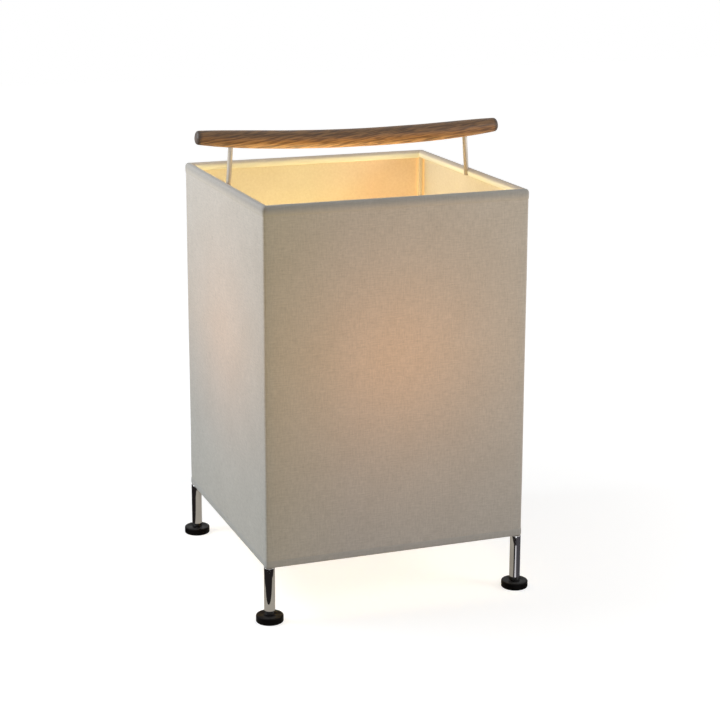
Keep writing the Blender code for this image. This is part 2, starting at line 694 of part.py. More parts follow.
def centre_contact_form():
    """Springy brass strip, bent up from the insert to the bulb's contact."""
    half = CONTACT_REACH / 2
    low = CONTACT_THICKNESS
    high = CONTACT_RISE
    outline = [
        (-CONTACT_REACH, 0),
        (-half, 0),
        (-half / 2, high - low),
        (half, high - low),
        (half, high),
        (-half / 2 - low, high),
        (-half - low, low),
        (-CONTACT_REACH, low),
    ]
    form = bmesh.new()
    side = form.faces.new([form.verts.new((x, -CONTACT_WIDTH / 2, z)) for x, z in outline])
    swept = bmesh.ops.extrude_face_region(form, geom=[side])["geom"]
    moved = [part for part in swept if isinstance(part, bmesh.types.BMVert)]
    bmesh.ops.translate(form, verts=moved, vec=(0, CONTACT_WIDTH, 0))
    return form


def make_bulb(glass, clear_glass, brass, tungsten, vitrite):
    """Screw-in bulb, carried by an empty on the lampholder's axis."""
    axis = bpy.data.objects.new("bulb_axis", None)
    bpy.context.scene.collection.objects.link(axis)
    axis.location = (0, 0, BULB_TIP)
    add_piece("bulb_envelope", turned(bulb_envelope_profile()), glass, parent=axis)
    add_piece("bulb_stem", turned(bulb_stem_profile(), SMALL_ROUND_SIDES), clear_glass, parent=axis)
    add_piece("bulb_cap", turned(bulb_cap_profile()), brass, parent=axis)
    add_piece("bulb_insulator", turned(bulb_insulator_profile()), vitrite, parent=axis)
    contact = BULB_CONTACT_DIAMETER / 2
    dome = [(0, 0), (contact / 2, 0), (contact, BULB_CONTACT_HEIGHT / 2), (contact, BULB_CONTACT_HEIGHT)]
    add_piece("bulb_contact", turned([*dome, (0, BULB_CONTACT_HEIGHT)]), brass, parent=axis)
    add_filament(tungsten, axis)


def bulb_wall(inset):
    """One face of the bulb's glass from its neck to its crown, set in from the outer face by a distance."""
    ball = BULB_DIAMETER / 2 - inset
    neck = Vector((BULB_NECK_RADIUS - inset, BULB_CAP_TOP + CLEARANCE))
    slope = Vector((-math.sin(BULB_TANGENT_ANGLE), math.cos(BULB_TANGENT_ANGLE)))
    join = Vector((ball * math.cos(BULB_TANGENT_ANGLE), BULB_CENTRE + ball * math.sin(BULB_TANGENT_ANGLE)))
    pull = (join - neck).length / 2
    handles = (neck, neck + Vector((0, pull)), join - pull * slope, join)
    points = [(BULB_NECK_RADIUS - inset, BULB_NECK_BOTTOM)]
    for step in range(BULB_STEPS + 1):
        t = step / BULB_STEPS
        weights = ((1 - t) ** 3, 3 * t * (1 - t) ** 2, 3 * t ** 2 * (1 - t), t ** 3)
        point = sum((weight * handle for weight, handle in zip(weights, handles)), Vector((0, 0)))
        points.append((point.x, point.y))
    for step in range(1, BULB_STEPS + 1):
        angle = BULB_TANGENT_ANGLE + (math.radians(90) - BULB_TANGENT_ANGLE) * step / BULB_STEPS
        points.append((ball * math.cos(angle), BULB_CENTRE + ball * math.sin(angle)))
    points[-1] = (0, BULB_CENTRE + ball)
    return points


def bulb_envelope_profile():
    """Glass envelope: open at its neck, inner face and outer face."""
    return [*reversed(bulb_wall(BULB_GLASS)), *bulb_wall(0)]


def bulb_stem_profile():
    """Glass stem flared at its foot, inside the neck, that holds the filament up."""
    flange = BULB_NECK_RADIUS - BULB_GLASS - CLEARANCE
    stem = STEM_DIAMETER / 2
    top = BULB_NECK_BOTTOM + STEM_LENGTH
    flare = STEM_LENGTH / 3
    points = [(0, BULB_NECK_BOTTOM), (flange, BULB_NECK_BOTTOM)]
    for step in range(FILLET_STEPS + 1):
        angle = math.radians(90) * step / FILLET_STEPS
        radius = flange - (flange - stem) * math.sin(angle)
        height = BULB_NECK_BOTTOM + STEM_FLANGE_THICKNESS + flare * (1 - math.cos(angle))
        points.append((radius, height))
    return [*points, (stem, top), (0, top)]


def bulb_cap_profile():
    """Screw cap: a thin shell, open at the top for the glass, drawn in below for the insulator."""
    outer = BULB_CAP_DIAMETER / 2
    inner = outer - BULB_CAP_WALL
    throat = inner - BULB_CAP_WALL
    shoulder = BULB_CAP_BOTTOM + BULB_CAP_WALL
    return [
        (throat, BULB_CAP_BOTTOM),
        (inner, BULB_CAP_BOTTOM),
        (outer, shoulder),
        (outer, BULB_CAP_TOP),
        (inner, BULB_CAP_TOP),
        (inner, shoulder + BULB_CAP_WALL),
        (throat, shoulder),
    ]


def bulb_insulator_profile():
    """Black glass plug in the cap's lower end, narrowing to the contact."""
    throat = BULB_CAP_DIAMETER / 2 - 2 * BULB_CAP_WALL - CLEARANCE
    bottom = BULB_CONTACT_HEIGHT + CLEARANCE
    return [
        (0, bottom),
        (BULB_INSULATOR_BOTTOM_DIAMETER / 2, bottom),
        (throat, BULB_CAP_BOTTOM),
        (throat, bottom + BULB_INSULATOR_THICKNESS),
        (0, bottom + BULB_INSULATOR_THICKNESS),
    ]


def add_filament(material, axis):
    """Filament hung in an arch between its two leads, which stand on the stem."""
    foot = BULB_NECK_BOTTOM + STEM_LENGTH + CLEARANCE
    spread = FILAMENT_SPAN / 2
    feet = FILAMENT_FEET_SPAN / 2
    points = [(-feet, foot), (-spread, foot + FILAMENT_HEIGHT)]
    for step in range(1, BULB_STEPS):
        turn = math.pi * step / BULB_STEPS
        points.append((-spread * math.cos(turn), foot + FILAMENT_HEIGHT + feet * math.sin(turn)))
    points += [(spread, foot + FILAMENT_HEIGHT), (feet, foot)]
    curve = bpy.data.curves.new("bulb_filament", "CURVE")
    curve.dimensions = "3D"
    curve.bevel_depth = FILAMENT_DIAMETER / 2
    curve.bevel_resolution = 1
    curve.use_fill_caps = True
    spline = curve.splines.new("POLY")
    spline.points.add(len(points) - 1)
    for point, (x, z) in zip(spline.points, points):
        point.co = (x, 0, z, 1)
    own_material = material.copy()
    own_material.name = "bulb_filament"
    curve.materials.append(own_material)
    link("bulb_filament", curve, parent=axis)


def main():
    clear_scene()
    fabric = finish("shade fabric", (0.58, 0.55, 0.50), 0.9)
    tape = finish("edge tape", (0.30, 0.32, 0.32), 0.85)
    steel = finish("white lacquered steel", (0.72, 0.70, 0.66), 0.45)
    chrome = finish("chromed steel", (0.80, 0.80, 0.81), 0.08, 1.0)
    zinc = finish("zinc plated steel", (0.55, 0.56, 0.57), 0.35, 1.0)
    wood = finish("oiled wood", (0.21, 0.10, 0.038), 0.5)
    plastic = finish("black plastic", (0.010, 0.009, 0.009), 0.4)
    phenolic = finish("ivory phenolic", (0.62, 0.56, 0.45), 0.4)
    ceramic = finish("glazed ceramic", (0.75, 0.73, 0.69), 0.3)
    nylon = finish("white nylon", (0.70, 0.69, 0.66), 0.5)
    brass = finish("brass", (0.60, 0.44, 0.18), 0.3, 1.0)
    opal = finish("opal glass", (0.90, 0.86, 0.78), 0.35)
    clear_glass = finish("clear glass", (0.85, 0.87, 0.87), 0.05)
    tungsten = finish("tungsten wire", (0.35, 0.33, 0.31), 0.4, 1.0)
    vitrite = finish("black vitrite", (0.015, 0.015, 0.018), 0.25)
    make_shade(fabric, tape)
    make_frame(steel)
    make_legs(chrome, plastic, zinc)
    make_handle(wood, chrome)
    make_holder(zinc, brass, phenolic, ceramic, nylon)
    make_bulb(opal, clear_glass, brass, tungsten, vitrite)


main()
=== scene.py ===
"""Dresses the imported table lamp: fabric shade, wooden handle, chromed legs, black feet and a lit bulb.

Everything is in metres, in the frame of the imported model: the origin lies on the floor under the lamp's
middle, +X runs along the handle and +Z points up. Colours are linear RGB.
"""

import math

import bmesh
import bpy
from mathutils import Euler, Matrix, Vector, noise


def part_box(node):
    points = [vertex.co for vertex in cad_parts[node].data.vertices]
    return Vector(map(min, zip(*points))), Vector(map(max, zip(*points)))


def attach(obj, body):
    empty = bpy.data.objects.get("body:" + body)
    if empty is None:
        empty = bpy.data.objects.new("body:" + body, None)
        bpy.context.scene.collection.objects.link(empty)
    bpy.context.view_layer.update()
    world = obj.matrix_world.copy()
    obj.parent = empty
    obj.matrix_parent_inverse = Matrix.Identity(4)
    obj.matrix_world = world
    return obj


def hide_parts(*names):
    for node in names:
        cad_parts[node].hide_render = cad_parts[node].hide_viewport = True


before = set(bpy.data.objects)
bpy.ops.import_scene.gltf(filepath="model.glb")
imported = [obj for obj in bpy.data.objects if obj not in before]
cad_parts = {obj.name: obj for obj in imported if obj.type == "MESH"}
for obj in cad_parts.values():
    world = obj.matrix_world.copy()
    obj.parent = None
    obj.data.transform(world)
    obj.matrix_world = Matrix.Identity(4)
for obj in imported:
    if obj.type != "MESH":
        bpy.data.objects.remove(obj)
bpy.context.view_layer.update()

# Camera, as the photograph was taken
CAMERA_PLACE = (-0.5905, -1.6046, 0.6655)
CAMERA_PITCH = math.radians(-13.052)
CAMERA_YAW = math.radians(-19.888)
CAMERA_LENS = 92.705
CAMERA_SENSOR = 36.0
CAMERA_SHIFT = (0.0278, -0.0972)

# Stage: lights (name, place, aim, size, power, colour), floor, and painted reflections that only mirrors
# see, with colours from one X to another
LIGHTS = (
    ("key", (-0.60, 0.12, 0.60), (-0.12, 0, 0.22), 0.30, 3.12, (0.88, 0.945, 1.0)),
    ("side", (0.75, -0.55, 0.55), (0.05, -0.12, 0.22), 0.30, 3.3, (1.0, 0.985, 0.955)),
)
WORLD_LIGHT = 0.25
FLOOR_GREY = 0.45
FLOOR_HALF = 4.0
FLOOR_GLOW = (0.74, 0.90)
# Painted reflection of dark surroundings, seen only in the chrome
DARK_REFLECTION_HALF = 0.40
DARK_REFLECTION_LEVEL = 0.0002
DARK_REFLECTION_COLOURS = ((0.05, (0.018, 0.015, 0.015)), (0.15, (0.075, 0.070, 0.078)))
# Painted reflection of the floor under the lamp, lit warm by the bulb
WARM_FLOOR_REFLECTION_LEVEL = 0.0003
WARM_FLOOR_REFLECTION_COLOURS = ((-0.08, (0.40, 0.365, 0.31)), (0.07, (0.345, 0.31, 0.255)))
WARM_FLOOR_REFLECTION_OUTLINE = (
    (-0.133, 0.20), (-0.133, 0.121), (-0.211, 0.001), (-0.211, -0.099), (-0.142, -0.150),
    (-0.021, -0.237), (0.106, -0.131), (0.1337, -0.131), (0.1337, 0.20),
)
# Painted highlight strip in the right leg's chrome
HIGHLIGHT_STRIP_LEVEL = 0.0004
HIGHLIGHT_STRIP_OUTLINE = ((0.113, -0.134), (0.123, -0.134), (0.129, -0.290), (0.063, -0.281))

CORNERS = ("front_left", "front_right", "back_left", "back_right")

# Shade: half width and heights from the solids, the rest its own
SHADE_LOW, SHADE_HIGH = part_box("shade_panel")
SHADE_HALF = SHADE_HIGH.x
SHADE_TOP = SHADE_HIGH.z
SHADE_BOTTOM = SHADE_LOW.z
SHADE_WALL = 0.0008
SHADE_CORNER = 0.0024
SHADE_CORE = SHADE_HALF - SHADE_CORNER
SHADE_STEP = 0.006
SHADE_ARC_STEPS = 6
SHADE_ROWS = 36
SHADE_RIPPLE = 0.00022
SHADE_RIPPLE_FADE = 0.020
SEAM_PLACE = -0.104
SEAM_RISE = 0.0003
SEAM_LAP = 0.011
SEAM_FEATHER = 0.002
THREAD_PITCH = 0.00075
THREAD_DRIFT = 0.0008
CLOSING_STRIP = 0.001

# Hem rolled over the ring: out and in from the wall's outer face, up and down from its top
HEM_OUT = 0.0004
HEM_IN = 0.0065
HEM_RISE = -0.00065
HEM_DROP = 0.0098
HEM_ROLL = (HEM_OUT + HEM_IN) / 2
HEM_LEVEL = HEM_RISE - HEM_ROLL
HEM_UNDER = 0.0046
HEM_CLOTH = 0.0005
HEM_CLEAR = HEM_EDGE = 0.00006
HEM_CORNER = 0.0006
HEM_LUMP = 0.00005
WALL_UNDER_HEM = 0.0047

# Section of the hem folded round the lower edge
BOTTOM_HEM_SECTION = [
    (HEM_CLEAR + HEM_EDGE, 0.0062), (0.00026, 0.0059), (0.00036, 0.0046), (0.00038, 0.0022),
    (0.00032, 0.0007), (0.00002, -0.0003), (-0.00045, -0.0006), (-0.00100, -0.0004),
    (-0.00138, 0.0001), (-0.00150, 0.0008), (-0.00140, 0.0017), (-0.00118, 0.0020),
    (-0.00104, 0.0016), (-0.00096, -0.00010), (-0.00040, -0.00022), (HEM_CLEAR, -0.00012),
    (HEM_CLEAR, 0.0030),
]

# Light that comes through the cloth: low and at the bulb's height, also by the front's left edge
THROUGH = ((0.096, 0.075, 0.050), (0.165, 0.115, 0.055))
THROUGH_FRONT = ((0.100, 0.072, 0.026), (0.140, 0.098, 0.023))
THROUGH_LEFT_LOW = (0.108, 0.101, 0.071)
THROUGH_SPOT = (0.200, 0.066, 0.004)
THROUGH_BOTTOM_HEM = 0.72
FACE_DEPTH = (0.0002, 0.0016)

# Light that the inside gathers: tints on the left, on the right and in the corners, and levels
LINING_TINTS = ((1.0, 0.66, 0.24), (1.0, 0.30, 0.07), (1.0, 0.50, 0.17))
POST_TINTS = ((1.0, 0.66, 0.24), (1.0, 0.58, 0.20), (1.0, 0.58, 0.20))
HEM_TINTS = ((1.0, 0.98, 0.53), (0.80, 0.81, 0.45), (1.0, 0.50, 0.17))
LINING_GLOW = 0.21
POST_GLOW = (0.14, 0.92)
GATHERED_RIGHT = 1.75
GATHERED_POCKET = 2.5
HEM_CREST_GLOW = (0.170, 0.106, 0.047)
HEM_LEFT_PAINTED_SHADE = (0.93, 0.89, 0.87)
HEM_INSIDE_COLOUR = (0.66, 0.65, 0.56)

# Ring at the mouth of the shade, and the posts under it
RING_LOW, RING_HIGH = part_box("top_ring")
RING_WIRE = (RING_HIGH.z - RING_LOW.z) / 2
RING_HEIGHT = (RING_HIGH.z + RING_LOW.z) / 2
RING_HALF = RING_HIGH.x - RING_WIRE
RING_CORNER = 0.004
RING_STEP = 0.02
RING_ARC_STEPS = 10
POST_EASE = 0.0004
POST_CLEAR = 0.0003
BAR_EASE = 0.0005

# Legs and feet
LEG_BORE = FOOT_BORE = 0.0034
LEG_BORE_DEPTH = 0.018
LEG_EASE = 0.0006
LEG_BRIM = 0.00015
FOOT_EASE = 0.0011
FOOT_EDGE = 0.0030
FOOT_BORE_MOUTH = 0.0040
FOOT_BORE_EASE = 0.0004
FOOT_BORE_DEPTH = 0.0045
STUD_THREAD = 0.0006
STUD_PLAIN = 0.0042
STUD_ROWS = 150

# Handle, bent upward at its ends
HANDLE_HALF = 0.1485
HANDLE_RADIUS = 0.0085
HANDLE_END_RADIUS = 0.0063
HANDLE_TAPER_POWER = 5
HANDLE_END_FILLET = 0.003
HANDLE_SWEEP = 0.0066
HANDLE_MIDDLE = SHADE_TOP + 0.0345
HANDLE_TILT = math.radians(0.36)
HANDLE_BEND = (HANDLE_HALF ** 2 + HANDLE_SWEEP ** 2) / (2 * HANDLE_SWEEP)
HANDLE_LUMP = 0.00016
HANDLE_STEPS = 96
HANDLE_END_STEPS = 8
HANDLE_SIDES = 56
ROD_RADIUS = 0.00225
ROD_EASE = 0.0007
ROD_IN_HANDLE = 0.004
ROD_INSET = 0.0027
ROD_UNDER_RING = 0.002

# Wood: growth from pale to dark, pores, end grain, and the light on it from below
WOOD_PALE = (0.287, 0.158, 0.071)
WOOD_BROWN = (0.152, 0.079, 0.034)
WOOD_DARK = (0.061, 0.031, 0.017)
WOOD_PORE = (0.040, 0.020, 0.011)
WOOD_END = (0.034, 0.023, 0.018)
WOOD_FLANK_TINT = (1.0, 0.64, 0.10)
WOOD_BELLY_TINT = (1.0, 1.10, 1.05)
WOOD_BELLY_GLOW = 2.1
WOOD_GLOW_PLACE = -0.035

# Bulb and lampholder
BULB_LOW, BULB_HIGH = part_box("bulb_envelope")
BULB_RADIUS = BULB_HIGH.x
BULB_CENTRE = BULB_HIGH.z - BULB_RADIUS
BULB_NECK = 0.0123
BULB_SKIN = 0.001
BULB_TANGENT = -38.0
BULB_GLOW = 18.8
CAP_THREAD = 0.0008
SHELL_THREAD = 0.00035
SCREW_PITCH = 0.00362
HOLDER_WALL = 0.0022
RIB_COUNT = 36
RIB_DEPTH = 0.00045
PIPE_THREAD = 0.0005
STUD_PITCH = PIPE_PITCH = 0.001

ROUND_SIDES = 72
SMOOTH_ANGLE = math.radians(35)
MERGE = 1e-7


class Paint:
    """A material with one Principled shader, and short calls for the nodes that feed it."""

    def __init__(self, name, constants):
        self.material = bpy.data.materials.new(name)
        self.material.use_nodes = True
        self.tree = self.material.node_tree
        self.shader = self.tree.nodes["Principled BSDF"]
        for socket, value in constants.items():
            self.shader.inputs[socket].default_value = value

    def node(self, kind, inputs=(), **settings):
        """Add a node; inputs pairs a socket's name or number with a value or another node's socket."""
        made = self.tree.nodes.new(kind)
        for setting, value in settings.items():
            setattr(made, setting, value)
        for socket, value in dict(inputs).items():
            if isinstance(value, bpy.types.NodeSocket):
                self.tree.links.new(value, made.inputs[socket])
            else:
                made.inputs[socket].default_value = value
        return made

    def feed(self, socket, source):
        self.tree.links.new(source, self.shader.inputs[socket])

    def place(self):
        return self.node("ShaderNodeTexCoord").outputs["Object"]

    def split(self, vector):
        return self.node("ShaderNodeSeparateXYZ", {0: vector}).outputs

    def join(self, x, y, z):
        return self.node("ShaderNodeCombineXYZ", {0: x, 1: y, 2: z}).outputs[0]

    def math(self, operation, a, b=0.0, c=0.0):
        return self.node("ShaderNodeMath", {0: a, 1: b, 2: c}, operation=operation).outputs[0]

    def plus(self, a, b):
        return self.math("ADD", a, b)

    def minus(self, a, b):
        return self.math("SUBTRACT", a, b)

    def times(self, a, b):
        return self.math("MULTIPLY", a, b)

    def times_plus(self, a, b, c):
        return self.math("MULTIPLY_ADD", a, b, c)

    def size(self, value):
        return self.math("ABSOLUTE", value)

    def vector(self, operation, inputs):
        return self.node("ShaderNodeVectorMath", inputs, operation=operation).outputs[0]

    def scaled(self, vector, scale):
        return self.vector("MULTIPLY", {0: vector, 1: scale})

    def dimmed(self, vector, factor):
        return self.vector("SCALE", {0: vector, 3: factor})

    def total(self, a, b):
        return self.vector("ADD", {0: a, 1: b})

    def tinted(self, value, colour):
        """A colour times a number that varies."""
        return self.scaled(self.join(value, value, value), colour)

    def noise(self, vector, scale, detail=2.0, roughness=0.5):
        settings = {"Vector": vector, "Scale": scale, "Detail": detail, "Roughness": roughness}
        return self.node("ShaderNodeTexNoise", settings).outputs[0]

    def span(self, value, low, high, to_low=0.0, to_high=1.0, smooth=False):
        """Map a value from one span to another, held at the ends."""
        kind = "SMOOTHSTEP" if smooth else "LINEAR"
        inputs = {0: value, 1: low, 2: high, 3: to_low, 4: to_high}
        return self.node("ShaderNodeMapRange", inputs, interpolation_type=kind).outputs[0]

    def blend(self, factor, a, b):
        """Mix two colours, given as sockets or linear RGB."""
        a, b = (value if isinstance(value, bpy.types.NodeSocket) else (*value, 1.0) for value in (a, b))
        return self.node("ShaderNodeMix", {0: factor, 6: a, 7: b}, data_type="RGBA").outputs[2]

    def bump(self, height, distance, strength):
        made = self.node("ShaderNodeBump", {"Height": height, "Distance": distance, "Strength": strength})
        self.feed("Normal", made.outputs[0])


def weave(paint):
    """Height of a plain weave, from 0 to 1, and its threads' unevenness, both on the weave's own map."""
    across, along, _ = paint.split(paint.node("ShaderNodeUVMap", uv_map="weave").outputs[0])
    flat = paint.join(across, along, 0.0)
    drift = paint.times_plus(paint.noise(flat, 55.0), THREAD_DRIFT, -THREAD_DRIFT / 2)
    turn = math.pi / THREAD_PITCH
    warp = paint.math("SINE", paint.times(paint.plus(across, drift), turn))
    weft = paint.math("SINE", paint.times(paint.plus(along, drift), turn))
    over = paint.times_plus(paint.times(warp, weft), 0.5, 0.5)
    rib_warp = paint.times(paint.size(warp), over)
    rib_weft = paint.times(paint.size(weft), paint.minus(1.0, over))
    height = paint.plus(rib_warp, rib_weft)
    slub_warp = paint.noise(paint.scaled(flat, (900.0, 110.0, 0.0)), 1.0)
    slub_weft = paint.noise(paint.scaled(flat, (110.0, 900.0, 0.0)), 1.0)
    nubs = paint.noise(flat, 430.0, roughness=0.6)
    slub = paint.times(paint.plus(slub_warp, slub_weft), 0.36)
    return height, paint.times_plus(nubs, 0.28, slub)


def cloth_paint(name, light, dark):
    """Woven fabric with uneven threads; also gives how much light its threads let through."""
    cloth = {"Roughness": 0.9, "Sheen Weight": 0.12, "Sheen Roughness": 0.5, "Emission Strength": 1.0}
    paint = Paint(name, cloth)
    height, slub = weave(paint)
    mottle = paint.noise(paint.place(), 26.0, 3.0)
    tone = paint.times_plus(height, 0.22, paint.times(slub, 1.1))
    tone = paint.times_plus(mottle, 0.25, tone)
    paint.feed("Base Color", paint.blend(paint.span(tone, 0.55, 1.0), dark, light))
    paint.bump(paint.plus(height, slub), 0.00012, 0.55)
    by_thread = paint.span(slub, 0.3, 0.7, 0.84, 1.16)
    thin = paint.times(by_thread, paint.span(height, 0.0, 1.0, 1.06, 0.96))
    return paint, thin


def near_bulb(paint, x, y, z):
    """How near the bulb a point is: 1 on a wall beside it, and less with the square of the distance."""
    rise = paint.minus(z, BULB_CENTRE)
    flat = paint.plus(paint.times(x, x), paint.times(y, y))
    return paint.math("DIVIDE", SHADE_HALF ** 2, paint.times_plus(rise, rise, flat))


def along_wall(paint, x, y):
    """How far from the middle of its wall a point lies."""
    return paint.math("MINIMUM", paint.size(x), paint.size(y))


def on_face(paint, place):
    """1 on the outer face that ends the shade towards -X or -Y, 0 elsewhere."""
    skin, depth = FACE_DEPTH
    return paint.span(place, skin - SHADE_HALF, depth - SHADE_HALF, 1.0, 0.0)


def bulb_glow(paint):
    """The bulb's warm light that comes through the cloth: wide over all of it, with a spot beside the bulb.

    As in the photograph, it is yellower by the front's left edge and less warm low on the left side.
    """
    x, y, z = paint.split(paint.place())
    near = near_bulb(paint, x, y, z)
    hot = paint.times(near, near)
    corner = along_wall(paint, x, y)
    edge = paint.span(corner, SHADE_HALF - 0.020, SHADE_HALF - 0.001, 1.0, 0.95, smooth=True)
    high = paint.span(z, SHADE_BOTTOM, BULB_CENTRE)
    sides = paint.span(paint.size(x), SHADE_HALF - 0.010, SHADE_HALF - 0.002, 1.0, 0.68)
    tint = paint.blend(high, *THROUGH)
    front = paint.times(on_face(paint, y), paint.span(x, -SHADE_HALF, -0.045, 1.0, 0.0))
    tint = paint.blend(front, tint, paint.blend(high, *THROUGH_FRONT))
    left = paint.times(on_face(paint, x), paint.span(z, SHADE_BOTTOM + 0.060, BULB_CENTRE, 1.0, 0.0))
    tint = paint.blend(left, tint, THROUGH_LEFT_LOW)
    spot = paint.tinted(paint.times(hot, sides), THROUGH_SPOT)
    return paint.total(paint.dimmed(tint, edge), spot)


def lit_cloth_paint(name, light, dark, share):
    """Fabric lit from behind that lets a share of the light through."""
    paint, thin = cloth_paint(name, light, dark)
    paint.feed("Emission Color", paint.dimmed(bulb_glow(paint), paint.times(thin, share)))
    return paint.material


def inner_glow(paint, left_tint, right_tint, corner_tint):
    """Warm light that the inside gathers from the bulb and the walls across, more of it in the corners."""
    x, y, z = paint.split(paint.place())
    near = paint.math("SQRT", near_bulb(paint, x, y, z))
    corner = along_wall(paint, x, y)
    gathered = paint.span(corner, SHADE_HALF - 0.040, SHADE_HALF - 0.002, 1.0, 2.2)
    right = paint.span(x, 0.0, 0.070)
    gathered = paint.times_plus(paint.minus(GATHERED_RIGHT, gathered), right, gathered)
    side = paint.span(x, SHADE_HALF - 0.007, SHADE_HALF - 0.003, 1.0, 0.12)
    pocket = paint.span(corner, SHADE_HALF - 0.009, SHADE_HALF - 0.0015)
    level = paint.times_plus(gathered, side, paint.times(pocket, GATHERED_POCKET))
    tint = paint.blend(right, left_tint, right_tint)
    tint = paint.blend(pocket, tint, corner_tint)
    return paint.dimmed(tint, paint.times(near, level))


def top_hem_paint():
    """Fabric of the rolled hem: the light behind it dies away towards the top, and its inside is lining."""
    paint, thin = cloth_paint("top_hem_cloth_woven", (0.48, 0.475, 0.45), (0.385, 0.38, 0.36))
    x, y, z = paint.split(paint.place())
    reach = paint.math("MAXIMUM", paint.size(x), paint.size(y))
    outside = paint.span(reach, SHADE_HALF - 0.0020, SHADE_HALF, smooth=True)
    below = paint.span(z, SHADE_TOP - HEM_DROP, SHADE_TOP - 0.0025, 1.0, 0.25, smooth=True)
    through = paint.dimmed(bulb_glow(paint), paint.times(thin, paint.times(outside, below)))
    level = SHADE_TOP + HEM_LEVEL
    inside = paint.times(
        paint.span(reach, SHADE_HALF - 0.0012, SHADE_HALF - 0.0006, 1.0, 0.0),
        paint.span(z, level - 0.0004, level + 0.0020, 1.0, 0.0, smooth=True))
    gathered = paint.dimmed(inner_glow(paint, *HEM_TINTS), paint.times(inside, LINING_GLOW))
    # Painted light: the bulb's light on the inner half of the roll's crest.
    crest = paint.span(reach, SHADE_HALF - 0.0044, SHADE_HALF - 0.0016, 1.0, 0.0, smooth=True)
    over = paint.tinted(paint.times(crest, paint.minus(1.0, inside)), HEM_CREST_GLOW)
    paint.feed("Emission Color", paint.total(paint.total(through, gathered), over))
    outer = paint.shader.inputs["Base Color"].links[0].from_socket
    # Painted shade: on the left side, where the key light falls, the hem's outer face is darker towards its
    # top.
    left = paint.times(
        paint.span(x, 0.002 - SHADE_HALF, 0.005 - SHADE_HALF, 1.0, 0.0),
        paint.span(z, SHADE_TOP - 0.0080, SHADE_TOP - 0.0050))
    outer = paint.scaled(outer, paint.blend(left, (1.0, 1.0, 1.0), HEM_LEFT_PAINTED_SHADE))
    paint.feed("Base Color", paint.blend(inside, outer, HEM_INSIDE_COLOUR))
    return paint.material


def lining_paint(name, light, dark, tints, glow, corner_glow=None):
    """Pale laminated lining lit from inside; a post glows at a level of its own towards its corner."""
    paint = Paint(name, {"Roughness": 0.5, "Emission Strength": glow})
    place = paint.place()
    fibre = paint.noise(place, 420.0, 3.0, 0.6)
    cloud = paint.noise(place, 22.0)
    tone = paint.times_plus(fibre, 0.6, paint.times(cloud, 0.4))
    paint.feed("Base Color", paint.blend(paint.span(tone, 0.35, 0.65), dark, light))
    paint.feed("Emission Color", inner_glow(paint, *tints))
    paint.bump(fibre, 0.00008, 0.4)
    if corner_glow is not None:
        x, y, _ = paint.split(place)
        depth = paint.plus(paint.size(x), paint.size(y))
        axis = 2 * abs(axis_of("corner_post_front_left")[0][0])
        paint.feed("Emission Strength", paint.span(depth, axis - 0.0036, axis + 0.0024, glow, corner_glow))
    return paint.material


def wood_glow(paint, x, z):
    """Light on the handle's flank and belly, strongest over the bulb and to its left."""
    middle = paint.times_plus(paint.times(x, x), 0.5 / HANDLE_BEND, HANDLE_MIDDLE)
    middle = paint.times_plus(x, -math.tan(HANDLE_TILT), middle)
    drop = paint.minus(middle, z)
    flank = paint.span(drop, -0.0040, 0.0015, smooth=True)
    belly = paint.span(drop, 0.0010, HANDLE_RADIUS, 0.0, WOOD_BELLY_GLOW, smooth=True)
    lit = paint.total(paint.tinted(flank, WOOD_FLANK_TINT), paint.tinted(belly, WOOD_BELLY_TINT))
    over_bulb = paint.span(paint.size(paint.minus(x, WOOD_GLOW_PLACE)), 0.02, 0.14, 0.84, 0.46, smooth=True)
    return paint.dimmed(lit, paint.times(over_bulb, paint.span(x, -0.135, -0.065, 0.62, 1.0)))


def wood_paint():
    """Oiled hardwood: fine growth lines slantwise along the bar, fibres, pores, darker ends."""
    paint = Paint("handle_wood_oiled", {"Emission Strength": 1.0})
    place = paint.place()
    x, y, z = paint.split(place)
    wander = paint.noise(paint.scaled(place, (14.0, 70.0, 70.0)), 1.0)
    slant = paint.times_plus(x, -0.13, z)
    slant = paint.times_plus(y, 0.10, slant)
    slant = paint.times_plus(wander, 0.0020, slant)
    along = paint.times(x, 48.0)
    ring = paint.noise(paint.join(along, paint.times(slant, 700.0), 0.0), 1.0, roughness=0.55)
    line = paint.noise(paint.join(along, paint.times(slant, 1900.0), 4.0), 1.0, roughness=0.6)
    late = paint.span(ring, 0.42, 0.62, smooth=True)
    fibre = paint.noise(paint.scaled(place, (60.0, 1300.0, 1300.0)), 1.0, 3.0, 0.6)
    speck = paint.noise(paint.scaled(place, (110.0, 2300.0, 2300.0)), 1.0, 1.0)
    pore = paint.span(speck, 0.62, 0.70)
    tone = paint.times_plus(late, 0.42, paint.times(line, 0.76))
    tone = paint.times_plus(fibre, 0.34, tone)
    grain = paint.blend(paint.span(tone, 0.46, 0.80), WOOD_PALE, WOOD_BROWN)
    grain = paint.blend(paint.span(tone, 0.80, 1.13), grain, WOOD_DARK)
    grain = paint.blend(paint.times(pore, 0.45), grain, WOOD_PORE)
    ends = paint.span(paint.size(x), HANDLE_HALF - 0.006, HANDLE_HALF - 0.0015, 0.0, 0.90, smooth=True)
    finish = paint.blend(ends, grain, WOOD_END)
    paint.feed("Base Color", finish)
    paint.feed("Roughness", paint.span(tone, 0.3, 1.0, 0.62, 0.46))
    paint.feed("Emission Color", paint.scaled(finish, wood_glow(paint, x, z)))
    paint.bump(paint.minus(fibre, pore), 0.00010, 0.5)
    return paint.material


